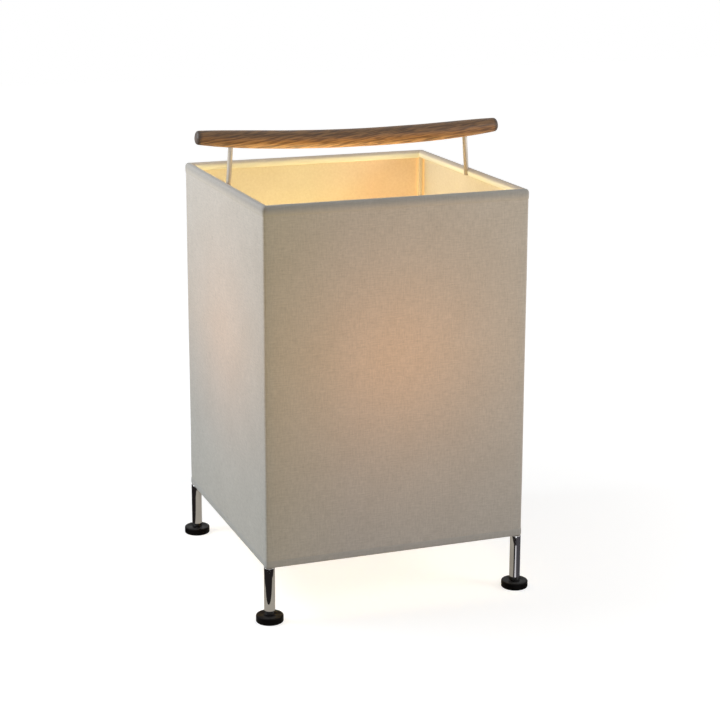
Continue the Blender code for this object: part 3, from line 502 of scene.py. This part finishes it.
def metal_paint(name, bright, dull, smooth, rough, scale=60.0, bump=0.0):
    """Metal with a faint uneven polish."""
    paint = Paint(name, {"Metallic": 1.0})
    place = paint.place()
    cloud = paint.noise(place, scale, 3.0)
    hair = paint.noise(paint.scaled(place, (1.0, 1.0, 14.0)), scale * 4)
    wear = paint.times_plus(cloud, 0.6, paint.times(hair, 0.4))
    paint.feed("Base Color", paint.blend(paint.span(wear, 0.35, 0.70), bright, dull))
    paint.feed("Roughness", paint.span(wear, 0.35, 0.70, smooth, rough))
    if bump:
        paint.bump(hair, bump, 0.4)
    return paint.material


def moulded_paint(name, light, dark, smooth, rough, scale=900.0, bump=0.00004, constants=()):
    """Moulded, lacquered or glazed finish with a fine skin."""
    paint = Paint(name, dict(constants))
    place = paint.place()
    skin = paint.noise(place, scale)
    cloud = paint.noise(place, 45.0, 3.0)
    tone = paint.times_plus(cloud, 0.7, paint.times(skin, 0.3))
    paint.feed("Base Color", paint.blend(paint.span(tone, 0.35, 0.65), dark, light))
    paint.feed("Roughness", paint.span(cloud, 0.35, 0.65, smooth, rough))
    paint.bump(skin, bump, 0.4)
    return paint.material


def opal_paint():
    """Opal glass lit from inside: brightest round the globe, dimmer and deeper at the neck."""
    paint = Paint("bulb_opal", {"Roughness": 0.3, "Emission Strength": BULB_GLOW})
    place = paint.place()
    height = paint.split(place)[2]
    frost = paint.noise(place, 300.0)
    paint.feed("Base Color", paint.blend(frost, (0.78, 0.74, 0.66), (0.86, 0.82, 0.74)))
    full = paint.span(height, BULB_LOW.z, BULB_CENTRE, 0.15, 1.0, smooth=True)
    full = paint.times(full, paint.span(frost, 0.3, 0.7, 0.97, 1.03))
    paint.feed("Emission Color", paint.blend(full, (0.10, 0.05, 0.02), (1.0, 0.755, 0.355)))
    return paint.material


def add_piece(name, form, paints, body, nodes):
    """Put a form into the scene in place of CAD nodes, smooth where it is round."""
    bmesh.ops.recalc_face_normals(form, faces=form.faces)
    mesh = bpy.data.meshes.new(name)
    form.to_mesh(mesh)
    form.free()
    mesh.shade_smooth()
    mesh.set_sharp_from_angle(angle=SMOOTH_ANGLE)
    for paint in paints:
        mesh.materials.append(paint)
    piece = bpy.data.objects.new(name, mesh)
    bpy.context.scene.collection.objects.link(piece)
    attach(piece, body)
    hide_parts(*nodes)
    return piece


def repaint(paint, *nodes):
    """Give CAD nodes that stay in view a new material."""
    for node in nodes:
        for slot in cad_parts[node].material_slots:
            slot.material = paint


def square_columns(core, straight_step, arc_steps, start):
    """Columns round a rounded square, anticlockwise from a point on its back side.

    Each is a point on the square through the corner centres, and a direction outward.
    """
    corners = [Vector((core * x, core * y, 0)) for x, y in ((-1, 1), (-1, -1), (1, -1), (1, 1))]
    stops = [Vector((start, core, 0)), *corners, Vector((start, core, 0))]
    columns = []
    for side, (first, last) in enumerate(zip(stops, stops[1:])):
        outward = Vector((0, 1, 0))
        outward.rotate(Euler((0, 0, math.radians(90) * side)))
        count = max(2, math.ceil((last - first).length / straight_step))
        columns += [(first.lerp(last, step / count), outward.copy()) for step in range(count + 1)]
        if side < len(corners):
            for step in range(1, arc_steps):
                turned = outward.copy()
                turned.rotate(Euler((0, 0, math.radians(90) * step / arc_steps)))
                columns.append((last.copy(), turned))
    return columns


def reach_from(core, outward, reach, core_half, least):
    """Point at a reach from the core; inside the least corner radius the core itself draws in."""
    if reach >= least:
        return core + reach * outward
    return core * ((core_half - (least - reach)) / core_half) + least * outward


def band(columns, core_half, rows, paint_of_row, spread, least=0.0):
    """Closed band round a square, and its length; rows give reach, height and place on the weave's map.

    spread(distance, height, reach) says how far a point stands further out.
    """
    form = bmesh.new()
    weave_map = form.loops.layers.uv.new("weave")
    reach_for_map = max(row[0] for row in rows)
    distances = [0.0]
    for (core, outward), (next_core, next_outward) in zip(columns, columns[1:]):
        step = (next_core + reach_for_map * next_outward) - (core + reach_for_map * outward)
        distances.append(distances[-1] + step.length)
    grid = []
    for reach, height, _ in rows:
        line = []
        for (core, outward), distance in zip(columns, distances):
            stands = reach + spread(distance, height, reach)
            point = reach_from(core, outward, stands, core_half, least)
            line.append(form.verts.new((point.x, point.y, height)))
        grid.append(line)
    last_column = len(columns)
    total = distances[-1]
    for index, line in enumerate(grid):
        following = grid[(index + 1) % len(grid)]
        across = rows[index][2]
        across_next = rows[index + 1][2] if index + 1 < len(rows) else across + CLOSING_STRIP
        for column in range(last_column):
            after = (column + 1) % last_column
            face = form.faces.new((line[column], line[after], following[after], following[column]))
            face.material_index = paint_of_row(index)
            start = distances[column]
            end = distances[after] if after else total + SEAM_RISE
            places = ((start, across), (end, across), (end, across_next), (start, across_next))
            for loop, spot in zip(face.loops, places):
                loop[weave_map].uv = spot
    return form, total


def lathe(profile, sides, place=(0, 0, 0), shape=None):
    """Turn a profile of (radius, height) about Z; it closes on itself unless both ends lie on the axis.

    shape(radius, height, turn) may return another radius, for ribs and threads.
    """
    form = bmesh.new()
    middle = Vector(place)
    rings = []
    for radius, height in profile:
        if radius < MERGE:
            rings.append([form.verts.new(middle + Vector((0, 0, height)))])
            continue
        ring = []
        for side in range(sides):
            turn = 2 * math.pi * side / sides
            reach = shape(radius, height, turn) if shape else radius
            point = Vector((reach * math.cos(turn), reach * math.sin(turn), height))
            ring.append(form.verts.new(middle + point))
        rings.append(ring)
    pairs = list(zip(rings, rings[1:]))
    if len(rings[0]) > 1 or len(rings[-1]) > 1:
        pairs.append((rings[-1], rings[0]))
    for lower, upper in pairs:
        for side in range(sides):
            after = (side + 1) % sides
            corners = [lower[side % len(lower)], lower[after % len(lower)]]
            corners += [upper[after % len(upper)], upper[side % len(upper)]]
            unique = list(dict.fromkeys(corners))
            if len(unique) > 2:
                form.faces.new(unique)
    return form


def add_turned(name, profile, sides, paint, body, node, place=(0, 0, 0), shape=None):
    """Put a turned piece into the scene in place of one CAD node."""
    add_piece(name, lathe(profile, sides, place, shape), [paint], body, [node])


def arc(centre, radius, start, end, steps):
    """Points of a profile along a round edge, from one angle to another, in degrees."""
    points = []
    for step in range(steps + 1):
        angle = math.radians(start + (end - start) * step / steps)
        points.append((centre[0] + radius * math.cos(angle), centre[1] + radius * math.sin(angle)))
    return points


def oval(left, right, middle, rise, start, end, steps):
    """Points along an oval from left to right that rises from its middle line, between two angles."""
    points = []
    for step in range(steps + 1):
        angle = math.radians(start + (end - start) * step / steps)
        across = (left + right) / 2 + (right - left) / 2 * math.cos(angle)
        points.append((across, middle + rise * math.sin(angle)))
    return points


def upright(radius, bottom, top, rows):
    """Points of a profile straight up at a radius, in equal steps."""
    return [(radius, bottom + (top - bottom) * row / rows) for row in range(rows + 1)]


def axis_of(node):
    """Where a CAD node's upright axis stands, its radius, its bottom and its top."""
    low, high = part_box(node)
    return ((low.x + high.x) / 2, (low.y + high.y) / 2, 0), (high.x - low.x) / 2, low.z, high.z


def seam_lap(distance):
    """How far the lapped seam stands out at a distance from its edge."""
    return SEAM_RISE * max(0.0, 1 - max(0.0, distance - SEAM_LAP) / SEAM_FEATHER)


def wall_spread(distance, height, reach):
    """Slight unevenness of the stretched cloth, none where the hems hold it, and the lap at the seam."""
    hold = min(SHADE_TOP - height, height - SHADE_BOTTOM) - HEM_DROP
    loose = max(0.0, min(1.0, hold / SHADE_RIPPLE_FADE))
    ripple = SHADE_RIPPLE * loose * noise.noise(Vector((distance * 22, height * 17, 4.0)))
    return ripple + (seam_lap(distance) if reach > SHADE_CORNER - SHADE_WALL / 2 else 0.0)


def hem_spread(distance, height, reach):
    """Unevenness of a hem; it passes over the seam's lap."""
    over = max(0.0, min(1.0, (reach - SHADE_CORNER) / HEM_CLEAR + 1))
    lump = HEM_LUMP * noise.noise(Vector((distance * 60, height * 40, 9.0)))
    return lump + over * seam_lap(distance)


def top_hem_section():
    """Section of the hem rolled over the ring: reach from the wall's outer face, and rise over its top."""
    inner = HEM_IN - HEM_CLOTH
    return [
        (HEM_CLEAR + HEM_EDGE, -HEM_DROP),
        (HEM_OUT - 0.00014, -HEM_DROP + 0.0003),
        (HEM_OUT - 0.00004, -HEM_DROP + 0.0016),
        (HEM_OUT, -HEM_DROP + 0.0030),
        *oval(-HEM_IN, HEM_OUT, HEM_LEVEL, HEM_ROLL, 0, 180, 18),
        *oval(-HEM_IN, HEM_OUT, HEM_LEVEL, HEM_UNDER, 190, 300, 11),
        *oval(-inner, HEM_CLEAR, HEM_LEVEL, HEM_UNDER - HEM_CLOTH, 300, 190, 11),
        *oval(-inner, HEM_CLEAR, HEM_LEVEL, HEM_ROLL - HEM_CLOTH, 180, 0, 14),
        (HEM_CLEAR, -HEM_DROP + 0.0014),
        (HEM_CLEAR, -HEM_DROP + 0.0002),
    ]


def make_shade(cloth, lining, top_cloth, bottom_cloth):
    """Fabric wall with a lapped seam at the back, and the hems round its two edges."""
    columns = square_columns(SHADE_CORE, SHADE_STEP, SHADE_ARC_STEPS, SEAM_PLACE)
    outer = upright(SHADE_CORNER, SHADE_BOTTOM, SHADE_TOP - WALL_UNDER_HEM, SHADE_ROWS)
    rows = [(reach, height, height) for reach, height in outer]
    rows += [(reach - SHADE_WALL, height, 2 * SHADE_TOP - height) for reach, height in reversed(outer)]
    form, round_length = band(columns, SHADE_CORE, rows, lambda row: int(row >= len(outer)), wall_spread)
    wall = add_piece("shade_cloth", form, [cloth, lining], "lamp", ["shade_panel"])

    for name, node, section, edge, paint in (
        ("top_hem", "top_binding", top_hem_section(), SHADE_TOP, top_cloth),
        ("bottom_hem", "bottom_binding", BOTTOM_HEM_SECTION, SHADE_BOTTOM, bottom_cloth),
    ):
        rows = []
        travelled = 0.0
        before = section[0]
        for reach, rise in section:
            travelled += math.hypot(reach - before[0], rise - before[1])
            before = (reach, rise)
            rows.append((SHADE_CORNER + reach, edge + rise, travelled))
        form, _ = band(columns, SHADE_CORE, rows, lambda row: 0, hem_spread, HEM_CORNER)
        add_piece(name, form, [paint], "lamp", [node])


def make_frame(lacquer, post_shaded_lining):
    """Wire ring and corner posts; the flat bars keep their solids."""
    core = RING_HALF - RING_CORNER
    columns = square_columns(core, RING_STEP, RING_ARC_STEPS, 0.0)
    rows = [(*point, 0.0) for point in arc((RING_CORNER, RING_HEIGHT), RING_WIRE, 0, 342, 19)]
    form, _ = band(columns, core, rows, lambda row: 0, lambda *place: 0.0)
    add_piece("mouth_ring", form, [lacquer], "lamp", ["top_ring"])
    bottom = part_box("base_frame")[1].z + POST_CLEAR
    for corner in CORNERS:
        node = "corner_post_" + corner
        place, radius, _, top = axis_of(node)
        profile = [(0, bottom), (radius, bottom), (radius, top - POST_EASE)]
        profile += [(radius - POST_EASE, top), (0, top)]
        add_turned("frame_post_" + corner, profile, 32, post_shaded_lining, "lamp", node, place)
    repaint(lacquer, "base_frame", "holder_crossbar", "crossbar_screw_left", "crossbar_screw_right")
    for node in ("base_frame", "holder_crossbar"):
        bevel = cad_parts[node].modifiers.new("eased edges", "BEVEL")
        bevel.width = BAR_EASE
        bevel.segments = 2
        bevel.limit_method = "ANGLE"
        bevel.angle_limit = math.radians(60)


def threaded(depth, pitch, bottom, top, fade, beyond=0.0):
    """Shape for lathe that cuts a thread between two heights, where the radius is beyond a least one."""

    def shape(radius, height, turn):
        if radius <= beyond:
            return radius
        end = max(0.0, min(1.0, (height - bottom) / fade, (top - height) / fade))
        return radius - depth * end * (0.5 - 0.5 * math.cos(2 * math.pi * height / pitch - turn))

    return shape


def make_legs(chrome, plastic, plated):
    """Chromed legs on black feet that screw in and out on their studs."""
    for corner in CORNERS:
        node = "leg_" + corner
        place, radius, bottom, top = axis_of(node)
        profile = [(LEG_BORE, bottom + LEG_BORE_DEPTH), (LEG_BORE, bottom)]
        profile += arc((radius - LEG_EASE, bottom + LEG_EASE), LEG_EASE, -90, 0, 4)
        profile += arc((radius - LEG_BRIM, top - LEG_BRIM), LEG_BRIM, 0, 90, 4)
        profile += [(LEG_BORE, top), (LEG_BORE, top - LEG_BORE_DEPTH)]
        add_turned("chrome_leg_" + corner, profile, ROUND_SIDES, chrome, "lamp", node, place)

        body = "foot_" + corner
        node = "foot_pad_" + corner
        place, radius, bottom, top = axis_of(node)
        profile = [
            (0, bottom),
            (radius - FOOT_EDGE, bottom),
            *arc((radius - FOOT_EASE, bottom + FOOT_EASE), FOOT_EASE, -90, 0, 5),
            *arc((radius - FOOT_EASE, top - FOOT_EASE), FOOT_EASE, 0, 90, 8),
            (FOOT_BORE_MOUTH, top),
            (FOOT_BORE, top - FOOT_BORE_EASE),
            (FOOT_BORE, top - FOOT_BORE_DEPTH),
            (0, top - FOOT_BORE_DEPTH),
        ]
        name = "round_foot_" + corner
        add_turned(name, profile, ROUND_SIDES, plastic, body, node, place)

        node = "foot_stud_" + corner
        place, radius, bottom, top = axis_of(node)
        profile = [(0, bottom), *upright(radius, bottom, top, STUD_ROWS), (0, top)]
        shape = threaded(STUD_THREAD, STUD_PITCH, bottom + STUD_PLAIN, top + 0.0004, 0.001)
        name = "screw_stud_" + corner
        add_turned(name, profile, 32, plated, body, node, place, shape)


def handle_radius(share):
    """Half thickness of the handle at a share of its half length."""
    return HANDLE_RADIUS - (HANDLE_RADIUS - HANDLE_END_RADIUS) * abs(share) ** HANDLE_TAPER_POWER


def handle_stations():
    """Places along the handle and its half thickness there, from end to end."""
    straight = HANDLE_HALF - HANDLE_END_FILLET
    stations = []
    for step in range(HANDLE_STEPS + 1):
        along = straight * (2 * step / HANDLE_STEPS - 1)
        stations.append((along, handle_radius(along / HANDLE_HALF)))
    end = stations[-1][1]
    for step in range(1, HANDLE_END_STEPS + 1):
        angle = math.radians(90) * step / HANDLE_END_STEPS
        along = straight + HANDLE_END_FILLET * math.sin(angle)
        thickness = end - HANDLE_END_FILLET * (1 - math.cos(angle))
        stations.append((along, thickness))
        stations.insert(0, (-along, thickness))
    return stations


def make_handle(wood, satin):
    """Bent wooden bar, shaped a little unevenly as by hand, on two rods square to its bend."""
    form = bmesh.new()
    centre = Vector((0, 0, HANDLE_MIDDLE + HANDLE_BEND))
    loops = []
    for along, radius in handle_stations():
        bend = math.asin(along / HANDLE_BEND)
        upward = Vector((-math.sin(bend), 0, math.cos(bend)))
        middle = centre - HANDLE_BEND * upward
        loop = []
        for side in range(HANDLE_SIDES):
            turn = 2 * math.pi * side / HANDLE_SIDES
            rise, aside = math.cos(turn), math.sin(turn)
            reach = radius + HANDLE_LUMP * noise.noise(Vector((along * 35, 2.2 * rise, 2.2 * aside)))
            loop.append(form.verts.new(middle + reach * (rise * upward + Vector((0, aside, 0)))))
        loops.append(loop)
    for loop, following in zip(loops, loops[1:]):
        for side in range(HANDLE_SIDES):
            after = (side + 1) % HANDLE_SIDES
            form.faces.new((loop[side], loop[after], following[after], following[side]))
    for loop in (loops[0], loops[-1]):
        middle = form.verts.new(sum((vertex.co for vertex in loop), Vector()) / HANDLE_SIDES)
        for side in range(HANDLE_SIDES):
            form.faces.new((loop[side], loop[(side + 1) % HANDLE_SIDES], middle))
    tilt = Matrix.Rotation(HANDLE_TILT, 3, "Y")
    bmesh.ops.rotate(form, cent=(0, 0, HANDLE_MIDDLE), matrix=tilt, verts=form.verts)
    add_piece("handle_grip", form, [wood], "lamp", ["handle_bar"])

    at_rods = handle_radius(RING_HALF / HANDLE_HALF)
    round_end = arc((ROD_RADIUS - ROD_EASE, ROD_EASE), ROD_EASE, -90, 0, 4)
    for side, sign in (("left", -1), ("right", 1)):
        foot = Vector((sign * (RING_HALF - ROD_INSET), 0, RING_HEIGHT - ROD_UNDER_RING))
        reach = centre - foot
        lean = Vector((0, 0, 1)).rotation_difference(reach)
        top = reach.length - HANDLE_BEND - at_rods + ROD_IN_HANDLE
        form = lathe([(0, 0), *round_end, (ROD_RADIUS, top), (0, top)], 40)
        bmesh.ops.transform(form, matrix=Matrix.LocRotScale(foot, lean, None), verts=form.verts)
        add_piece("chrome_rod_" + side, form, [satin], "lamp", ["handle_rod_" + side])


def make_riser(plated):
    """Tube that the lampholder stands on."""
    place, radius, bottom, top = axis_of("riser_tube")
    inner = radius - 0.001
    ease = 0.0004
    profile = [(inner, bottom), (radius - ease, bottom), (radius, bottom + ease)]
    profile += [(radius, top - ease), (radius - ease, top), (inner, top)]
    add_turned("riser", profile, 56, plated, "lamp", "riser_tube", place)


def make_holder_base(ivory):
    """Waisted base of the lampholder, hollow."""
    place, radius, bottom, top = axis_of("holder_cap")
    inner = radius - HOLDER_WALL
    waist, bore, hollow = 0.0114, 0.0053, 0.0091
    floor, shelf = bottom + 0.0030, bottom + 0.0150
    ease, neck, shoulder = 0.0012, 0.0020, 0.0030
    profile = [
        (bore, bottom),
        *arc((waist - ease, bottom + ease), ease, -90, 0, 4),
        *arc((waist + neck, bottom + 0.0070), neck, 180, 145, 3),
        *arc((radius - shoulder, bottom + 0.0138), shoulder, -40, 0, 5),
        (radius, top - 0.0008),
        (radius - 0.0006, top),
        (inner, top),
        (inner, shelf),
        (inner - 0.0028, shelf),
        (hollow, bottom + 0.0090),
        (hollow, floor),
        (bore, floor),
    ]
    add_turned("holder_base", profile, ROUND_SIDES, ivory, "lamp", "holder_cap", place)


def make_holder_barrel(ivory):
    """Ribbed sleeve of the lampholder, with a lip at its top."""
    place, radius, bottom, top = axis_of("holder_sleeve")
    inner = radius - HOLDER_WALL
    lip = inner - 0.0018
    under_lip = top - 0.0022
    low, high = bottom + 0.003, top - 0.012
    fade, ease, brim, edge = 0.0012, 0.0006, 0.0012, 0.0004

    def ribbed(reach, height, turn):
        share = min(1.0, max(0.0, min(height - low, high - height) / fade))
        groove = RIB_DEPTH * share * (0.5 - 0.5 * math.cos(RIB_COUNT * turn))
        return reach - (groove if reach > inner + 0.001 else 0.0)

    profile = [(inner, bottom), (radius - ease, bottom), (radius, bottom + ease)]
    profile += upright(radius, low, high, 14)
    profile += arc((radius - brim, top - brim), brim, 0, 90, 5)
    profile += [(lip + edge, top), (lip, top - edge), (lip, under_lip), (inner, under_lip)]
    name, node, sides = "holder_barrel", "holder_sleeve", RIB_COUNT * 8
    add_turned(name, profile, sides, ivory, "lamp", node, place, ribbed)


def make_screw_shell(brass):
    """Sheet-metal shell with a rolled thread for the bulb."""
    place, radius, bottom, top = axis_of("screw_shell")
    rows = 60
    sheet, hole, plain = 0.0006, radius - 0.0046, 0.002
    outer_wall = upright(radius, bottom, top, rows)
    inner_wall = upright(radius - sheet, bottom + 0.0008, top, rows)
    profile = [(hole, bottom), *outer_wall, *reversed(inner_wall), (hole, bottom + sheet)]
    rolled = threaded(SHELL_THREAD, SCREW_PITCH, bottom + plain, top - plain, plain, radius - 0.001)
    add_turned("threaded_shell", profile, 64, brass, "lamp", "screw_shell", place, rolled)


def make_pipe(plated):
    """Pipe through the crossbar, threaded below its nut."""
    place, radius, bottom, top = axis_of("threaded_pipe")
    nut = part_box("pipe_nut")[0].z
    bore = 0.0035
    profile = [(bore, bottom), *upright(radius, bottom, nut, 24), (radius, top), (bore, top)]
    shape = threaded(PIPE_THREAD, PIPE_PITCH, bottom - 0.0004, nut + 0.001, 0.0006)
    add_turned("hollow_pipe", profile, 40, plated, "lamp", "threaded_pipe", place, shape)


def make_holder(plated, ivory, ceramic, nylon, brass):
    """Lampholder on its riser and pipe; the other pieces keep their solids."""
    make_riser(plated)
    make_holder_base(ivory)
    make_holder_barrel(ivory)
    make_screw_shell(brass)
    make_pipe(plated)
    repaint(plated, "pipe_washer", "pipe_nut", "cap_nut")
    repaint(ceramic, "holder_insert")
    repaint(nylon, "cord_bushing")
    repaint(brass, "centre_contact")


def make_bulb(opal, brass, glass, tungsten, vitrite):
    """Opal bulb with a rolled screw cap; its inner pieces keep their solids."""
    place, radius, bottom, top = axis_of("bulb_cap")
    start = Vector((BULB_NECK, top + 0.0003))
    angle = math.radians(BULB_TANGENT)
    slope = Vector((-math.sin(angle), math.cos(angle)))
    join = Vector((BULB_RADIUS * math.cos(angle), BULB_CENTRE + BULB_RADIUS * math.sin(angle)))
    pull = (join - start).length / 2
    handles = (start, start + Vector((0, pull)), join - pull * slope, join)
    outer = [(BULB_NECK, BULB_LOW.z)]
    steps = 24
    for step in range(steps + 1):
        t = step / steps
        weights = ((1 - t) ** 3, 3 * t * (1 - t) ** 2, 3 * t ** 2 * (1 - t), t ** 3)
        point = sum((weight * handle for weight, handle in zip(weights, handles)), Vector((0, 0)))
        outer.append((point.x, point.y))
    outer += arc((0, BULB_CENTRE), BULB_RADIUS, BULB_TANGENT, 90, 40)[1:-1]
    inner = [(reach - BULB_SKIN, height) for reach, height in outer[:-1]]
    crown = BULB_CENTRE + BULB_RADIUS
    profile = [(0, crown - BULB_SKIN), *reversed(inner), *outer, (0, crown)]
    add_turned("bulb_globe", profile, ROUND_SIDES, opal, "bulb", "bulb_envelope")

    inner = radius - 0.0018
    low = bottom + 0.0006
    profile = [(inner, bottom), (radius - 0.0012, bottom), *upright(radius, low, top, 80)]
    profile += [(BULB_NECK + 0.0003, top), (BULB_NECK + 0.0002, top - 0.002)]
    profile += [(inner, top - 0.003), (inner, bottom + 0.001)]
    rolled = threaded(CAP_THREAD, SCREW_PITCH, low, top - 0.003, 0.002, radius - 0.0001)
    add_turned("bulb_screw_cap", profile, ROUND_SIDES, brass, "bulb", "bulb_cap", place, rolled)
    repaint(brass, "bulb_contact")
    repaint(vitrite, "bulb_insulator")
    repaint(glass, "bulb_stem")
    repaint(tungsten, "bulb_filament")


def emit_for_view(tree, seen, otherwise):
    """Strength with one level for camera, mirror and glass rays, and another for all other rays."""
    path = tree.nodes.new("ShaderNodeLightPath")
    sees = path.outputs["Is Camera Ray"]
    for rays in ("Is Glossy Ray", "Is Transmission Ray"):
        either = tree.nodes.new("ShaderNodeMath")
        either.operation = "MAXIMUM"
        tree.links.new(sees, either.inputs[0])
        tree.links.new(path.outputs[rays], either.inputs[1])
        sees = either.outputs[0]
    strength = tree.nodes.new("ShaderNodeMapRange")
    strength.inputs["To Min"].default_value = otherwise
    strength.inputs["To Max"].default_value = seen
    tree.links.new(sees, strength.inputs["Value"])
    return strength.outputs[0]


def square(half):
    """Corners of a square about the origin."""
    return (-half, -half), (half, -half), (half, half), (-half, half)


def stage_plane(name, outline, level, material):
    """Flat stage piece with an outline in X and Y, at a height."""
    mesh = bpy.data.meshes.new(name)
    mesh.from_pydata([(x, y, level) for x, y in outline], [], [tuple(range(len(outline)))])
    mesh.materials.append(material)
    obj = bpy.data.objects.new(name, mesh)
    bpy.context.scene.collection.objects.link(obj)
    return obj


def add_painted_reflection(name, outline, level, material):
    """A flat painted reflection that only polished metal mirrors: unseen by the camera, without light or
    shade.
    """
    card = stage_plane(name, outline, level, material)
    card.visible_camera = card.visible_diffuse = card.visible_transmission = False
    card.visible_volume_scatter = card.visible_shadow = False


def make_painted_reflections():
    """Painted reflections for the bands in the chrome: a dark surround, a warm-lit floor under the lamp
    laid on it, and a highlight strip.
    """
    blank = {"Base Color": (0.0, 0.0, 0.0, 1.0), "Roughness": 1.0, "Specular IOR Level": 0.0}
    for name, outline, level, (low, left), (high, right) in (
        ("dark_cloth", square(DARK_REFLECTION_HALF), DARK_REFLECTION_LEVEL, *DARK_REFLECTION_COLOURS),
        ("beige_sheet", WARM_FLOOR_REFLECTION_OUTLINE, WARM_FLOOR_REFLECTION_LEVEL, *WARM_FLOOR_REFLECTION_COLOURS),
    ):
        paint = Paint(name, {**blank, "Emission Strength": 1.0})
        across = paint.split(paint.place())[0]
        share = paint.span(across, low, high, smooth=True)
        paint.feed("Emission Color", paint.blend(share, left, right))
        add_painted_reflection(name, outline, level, paint.material)
    white = {**blank, "Emission Color": (1.0, 0.97, 1.0, 1.0), "Emission Strength": 0.68}
    add_painted_reflection("painted_highlight_strip", HIGHLIGHT_STRIP_OUTLINE, HIGHLIGHT_STRIP_LEVEL, Paint("painted_highlight_strip", white).material)


def make_stage():
    """Pale floor, white surroundings, a soft key from the left, a light from the right, the camera."""
    scene = bpy.context.scene
    scene.view_settings.view_transform = "Standard"
    world = bpy.data.worlds.new("studio")
    scene.world = world
    world.use_nodes = True
    background = world.node_tree.nodes["Background"]
    background.inputs["Color"].default_value = (1.0, 1.0, 1.0, 1.0)
    strength = emit_for_view(world.node_tree, 1.0, WORLD_LIGHT)
    world.node_tree.links.new(strength, background.inputs["Strength"])

    grey = (FLOOR_GREY, FLOOR_GREY, FLOOR_GREY, 1.0)
    floor = Paint("pale_floor", {"Base Color": grey, "Roughness": 0.9, "Specular IOR Level": 0.0})
    x, y, _ = floor.split(floor.place())
    # The floor's white is painted dimmer near the lamp, so that the lamp's shadow shows there.
    away = floor.math("SQRT", floor.times_plus(x, x, floor.times(y, y)))
    pale = floor.span(away, 0.20, 0.75, *FLOOR_GLOW, smooth=True)
    floor.feed("Emission Color", floor.join(pale, pale, pale))
    floor.feed("Emission Strength", emit_for_view(floor.tree, 1.0, 0.0))
    stage_plane("floor", square(FLOOR_HALF), 0.0, floor.material)

    for name, place, aim, size, power, colour in LIGHTS:
        light = bpy.data.lights.new(name, "AREA")
        light.energy = power
        light.size = size
        light.color = colour
        lamp = bpy.data.objects.new(name, light)
        scene.collection.objects.link(lamp)
        lamp.location = place
        lamp.rotation_euler = (Vector(aim) - Vector(place)).to_track_quat("-Z", "Y").to_euler()
        lamp.visible_camera = False

    view = bpy.data.cameras.new("view")
    view.lens = CAMERA_LENS
    view.sensor_width = CAMERA_SENSOR
    view.shift_x, view.shift_y = CAMERA_SHIFT
    camera = bpy.data.objects.new("view", view)
    scene.collection.objects.link(camera)
    camera.location = CAMERA_PLACE
    camera.rotation_euler = (math.radians(90) + CAMERA_PITCH, 0, CAMERA_YAW)
    scene.camera = camera


make_stage()
make_painted_reflections()
lacquer = moulded_paint("white_lacquer", (0.70, 0.65, 0.55), (0.62, 0.57, 0.47), 0.40, 0.55)
chrome = metal_paint("chrome_polished", (0.82, 0.82, 0.83), (0.74, 0.74, 0.75), 0.03, 0.08)
satin = metal_paint("chrome_satin", (0.48, 0.43, 0.37), (0.40, 0.36, 0.30), 0.40, 0.52)
plated = metal_paint("zinc_plated", (0.60, 0.61, 0.62), (0.50, 0.51, 0.53), 0.28, 0.42, 140.0, 0.00002)
brass = metal_paint("brass_rolled", (0.68, 0.50, 0.22), (0.54, 0.38, 0.15), 0.20, 0.36, 90.0, 0.00002)
tungsten = metal_paint("tungsten_drawn", (0.38, 0.36, 0.34), (0.30, 0.28, 0.27), 0.35, 0.5, 200.0, 0.00001)
plastic = moulded_paint(
    "black_moulding", (0.007, 0.006, 0.006), (0.004, 0.003, 0.003), 0.34, 0.50,
    constants={"Specular IOR Level": 0.05})
ivory = moulded_paint("ivory_moulding", (0.66, 0.60, 0.49), (0.60, 0.54, 0.43), 0.30, 0.42)
ceramic = moulded_paint("glazed_ceramic", (0.78, 0.76, 0.72), (0.70, 0.68, 0.64), 0.18, 0.32)
nylon = moulded_paint("natural_nylon", (0.72, 0.71, 0.68), (0.66, 0.65, 0.62), 0.42, 0.55)
vitrite = moulded_paint("black_vitrite", (0.020, 0.020, 0.023), (0.010, 0.010, 0.012), 0.12, 0.25)
glass = moulded_paint(
    "clear_stem_glass", (0.93, 0.95, 0.95), (0.88, 0.91, 0.91), 0.02, 0.06, 300.0, 0.00001,
    {"Transmission Weight": 1.0, "IOR": 1.5})
lining = lining_paint(
    "shade_lining", (0.650, 0.620, 0.505), (0.575, 0.540, 0.425), LINING_TINTS, LINING_GLOW)
# The posts take a darker, shaded copy of the lining's colours, and their glow rises towards the corners:
# painted shade and painted light that blend them into the walls.
post_shaded_lining = lining_paint(
    "post_lining_painted_shade_and_light", (0.500, 0.455, 0.360), (0.440, 0.400, 0.310), POST_TINTS, *POST_GLOW)
cloth = lit_cloth_paint("shade_cloth_woven", (0.49, 0.49, 0.48), (0.35, 0.35, 0.34), 1.0)
bottom_cloth = lit_cloth_paint(
    "bottom_hem_cloth_woven", (0.46, 0.465, 0.46), (0.37, 0.375, 0.37), THROUGH_BOTTOM_HEM)
make_shade(cloth, lining, top_hem_paint(), bottom_cloth)
make_frame(lacquer, post_shaded_lining)
make_legs(chrome, plastic, plated)
make_handle(wood_paint(), satin)
make_holder(plated, ivory, ceramic, nylon, brass)
make_bulb(opal_paint(), brass, glass, tungsten, vitrite)
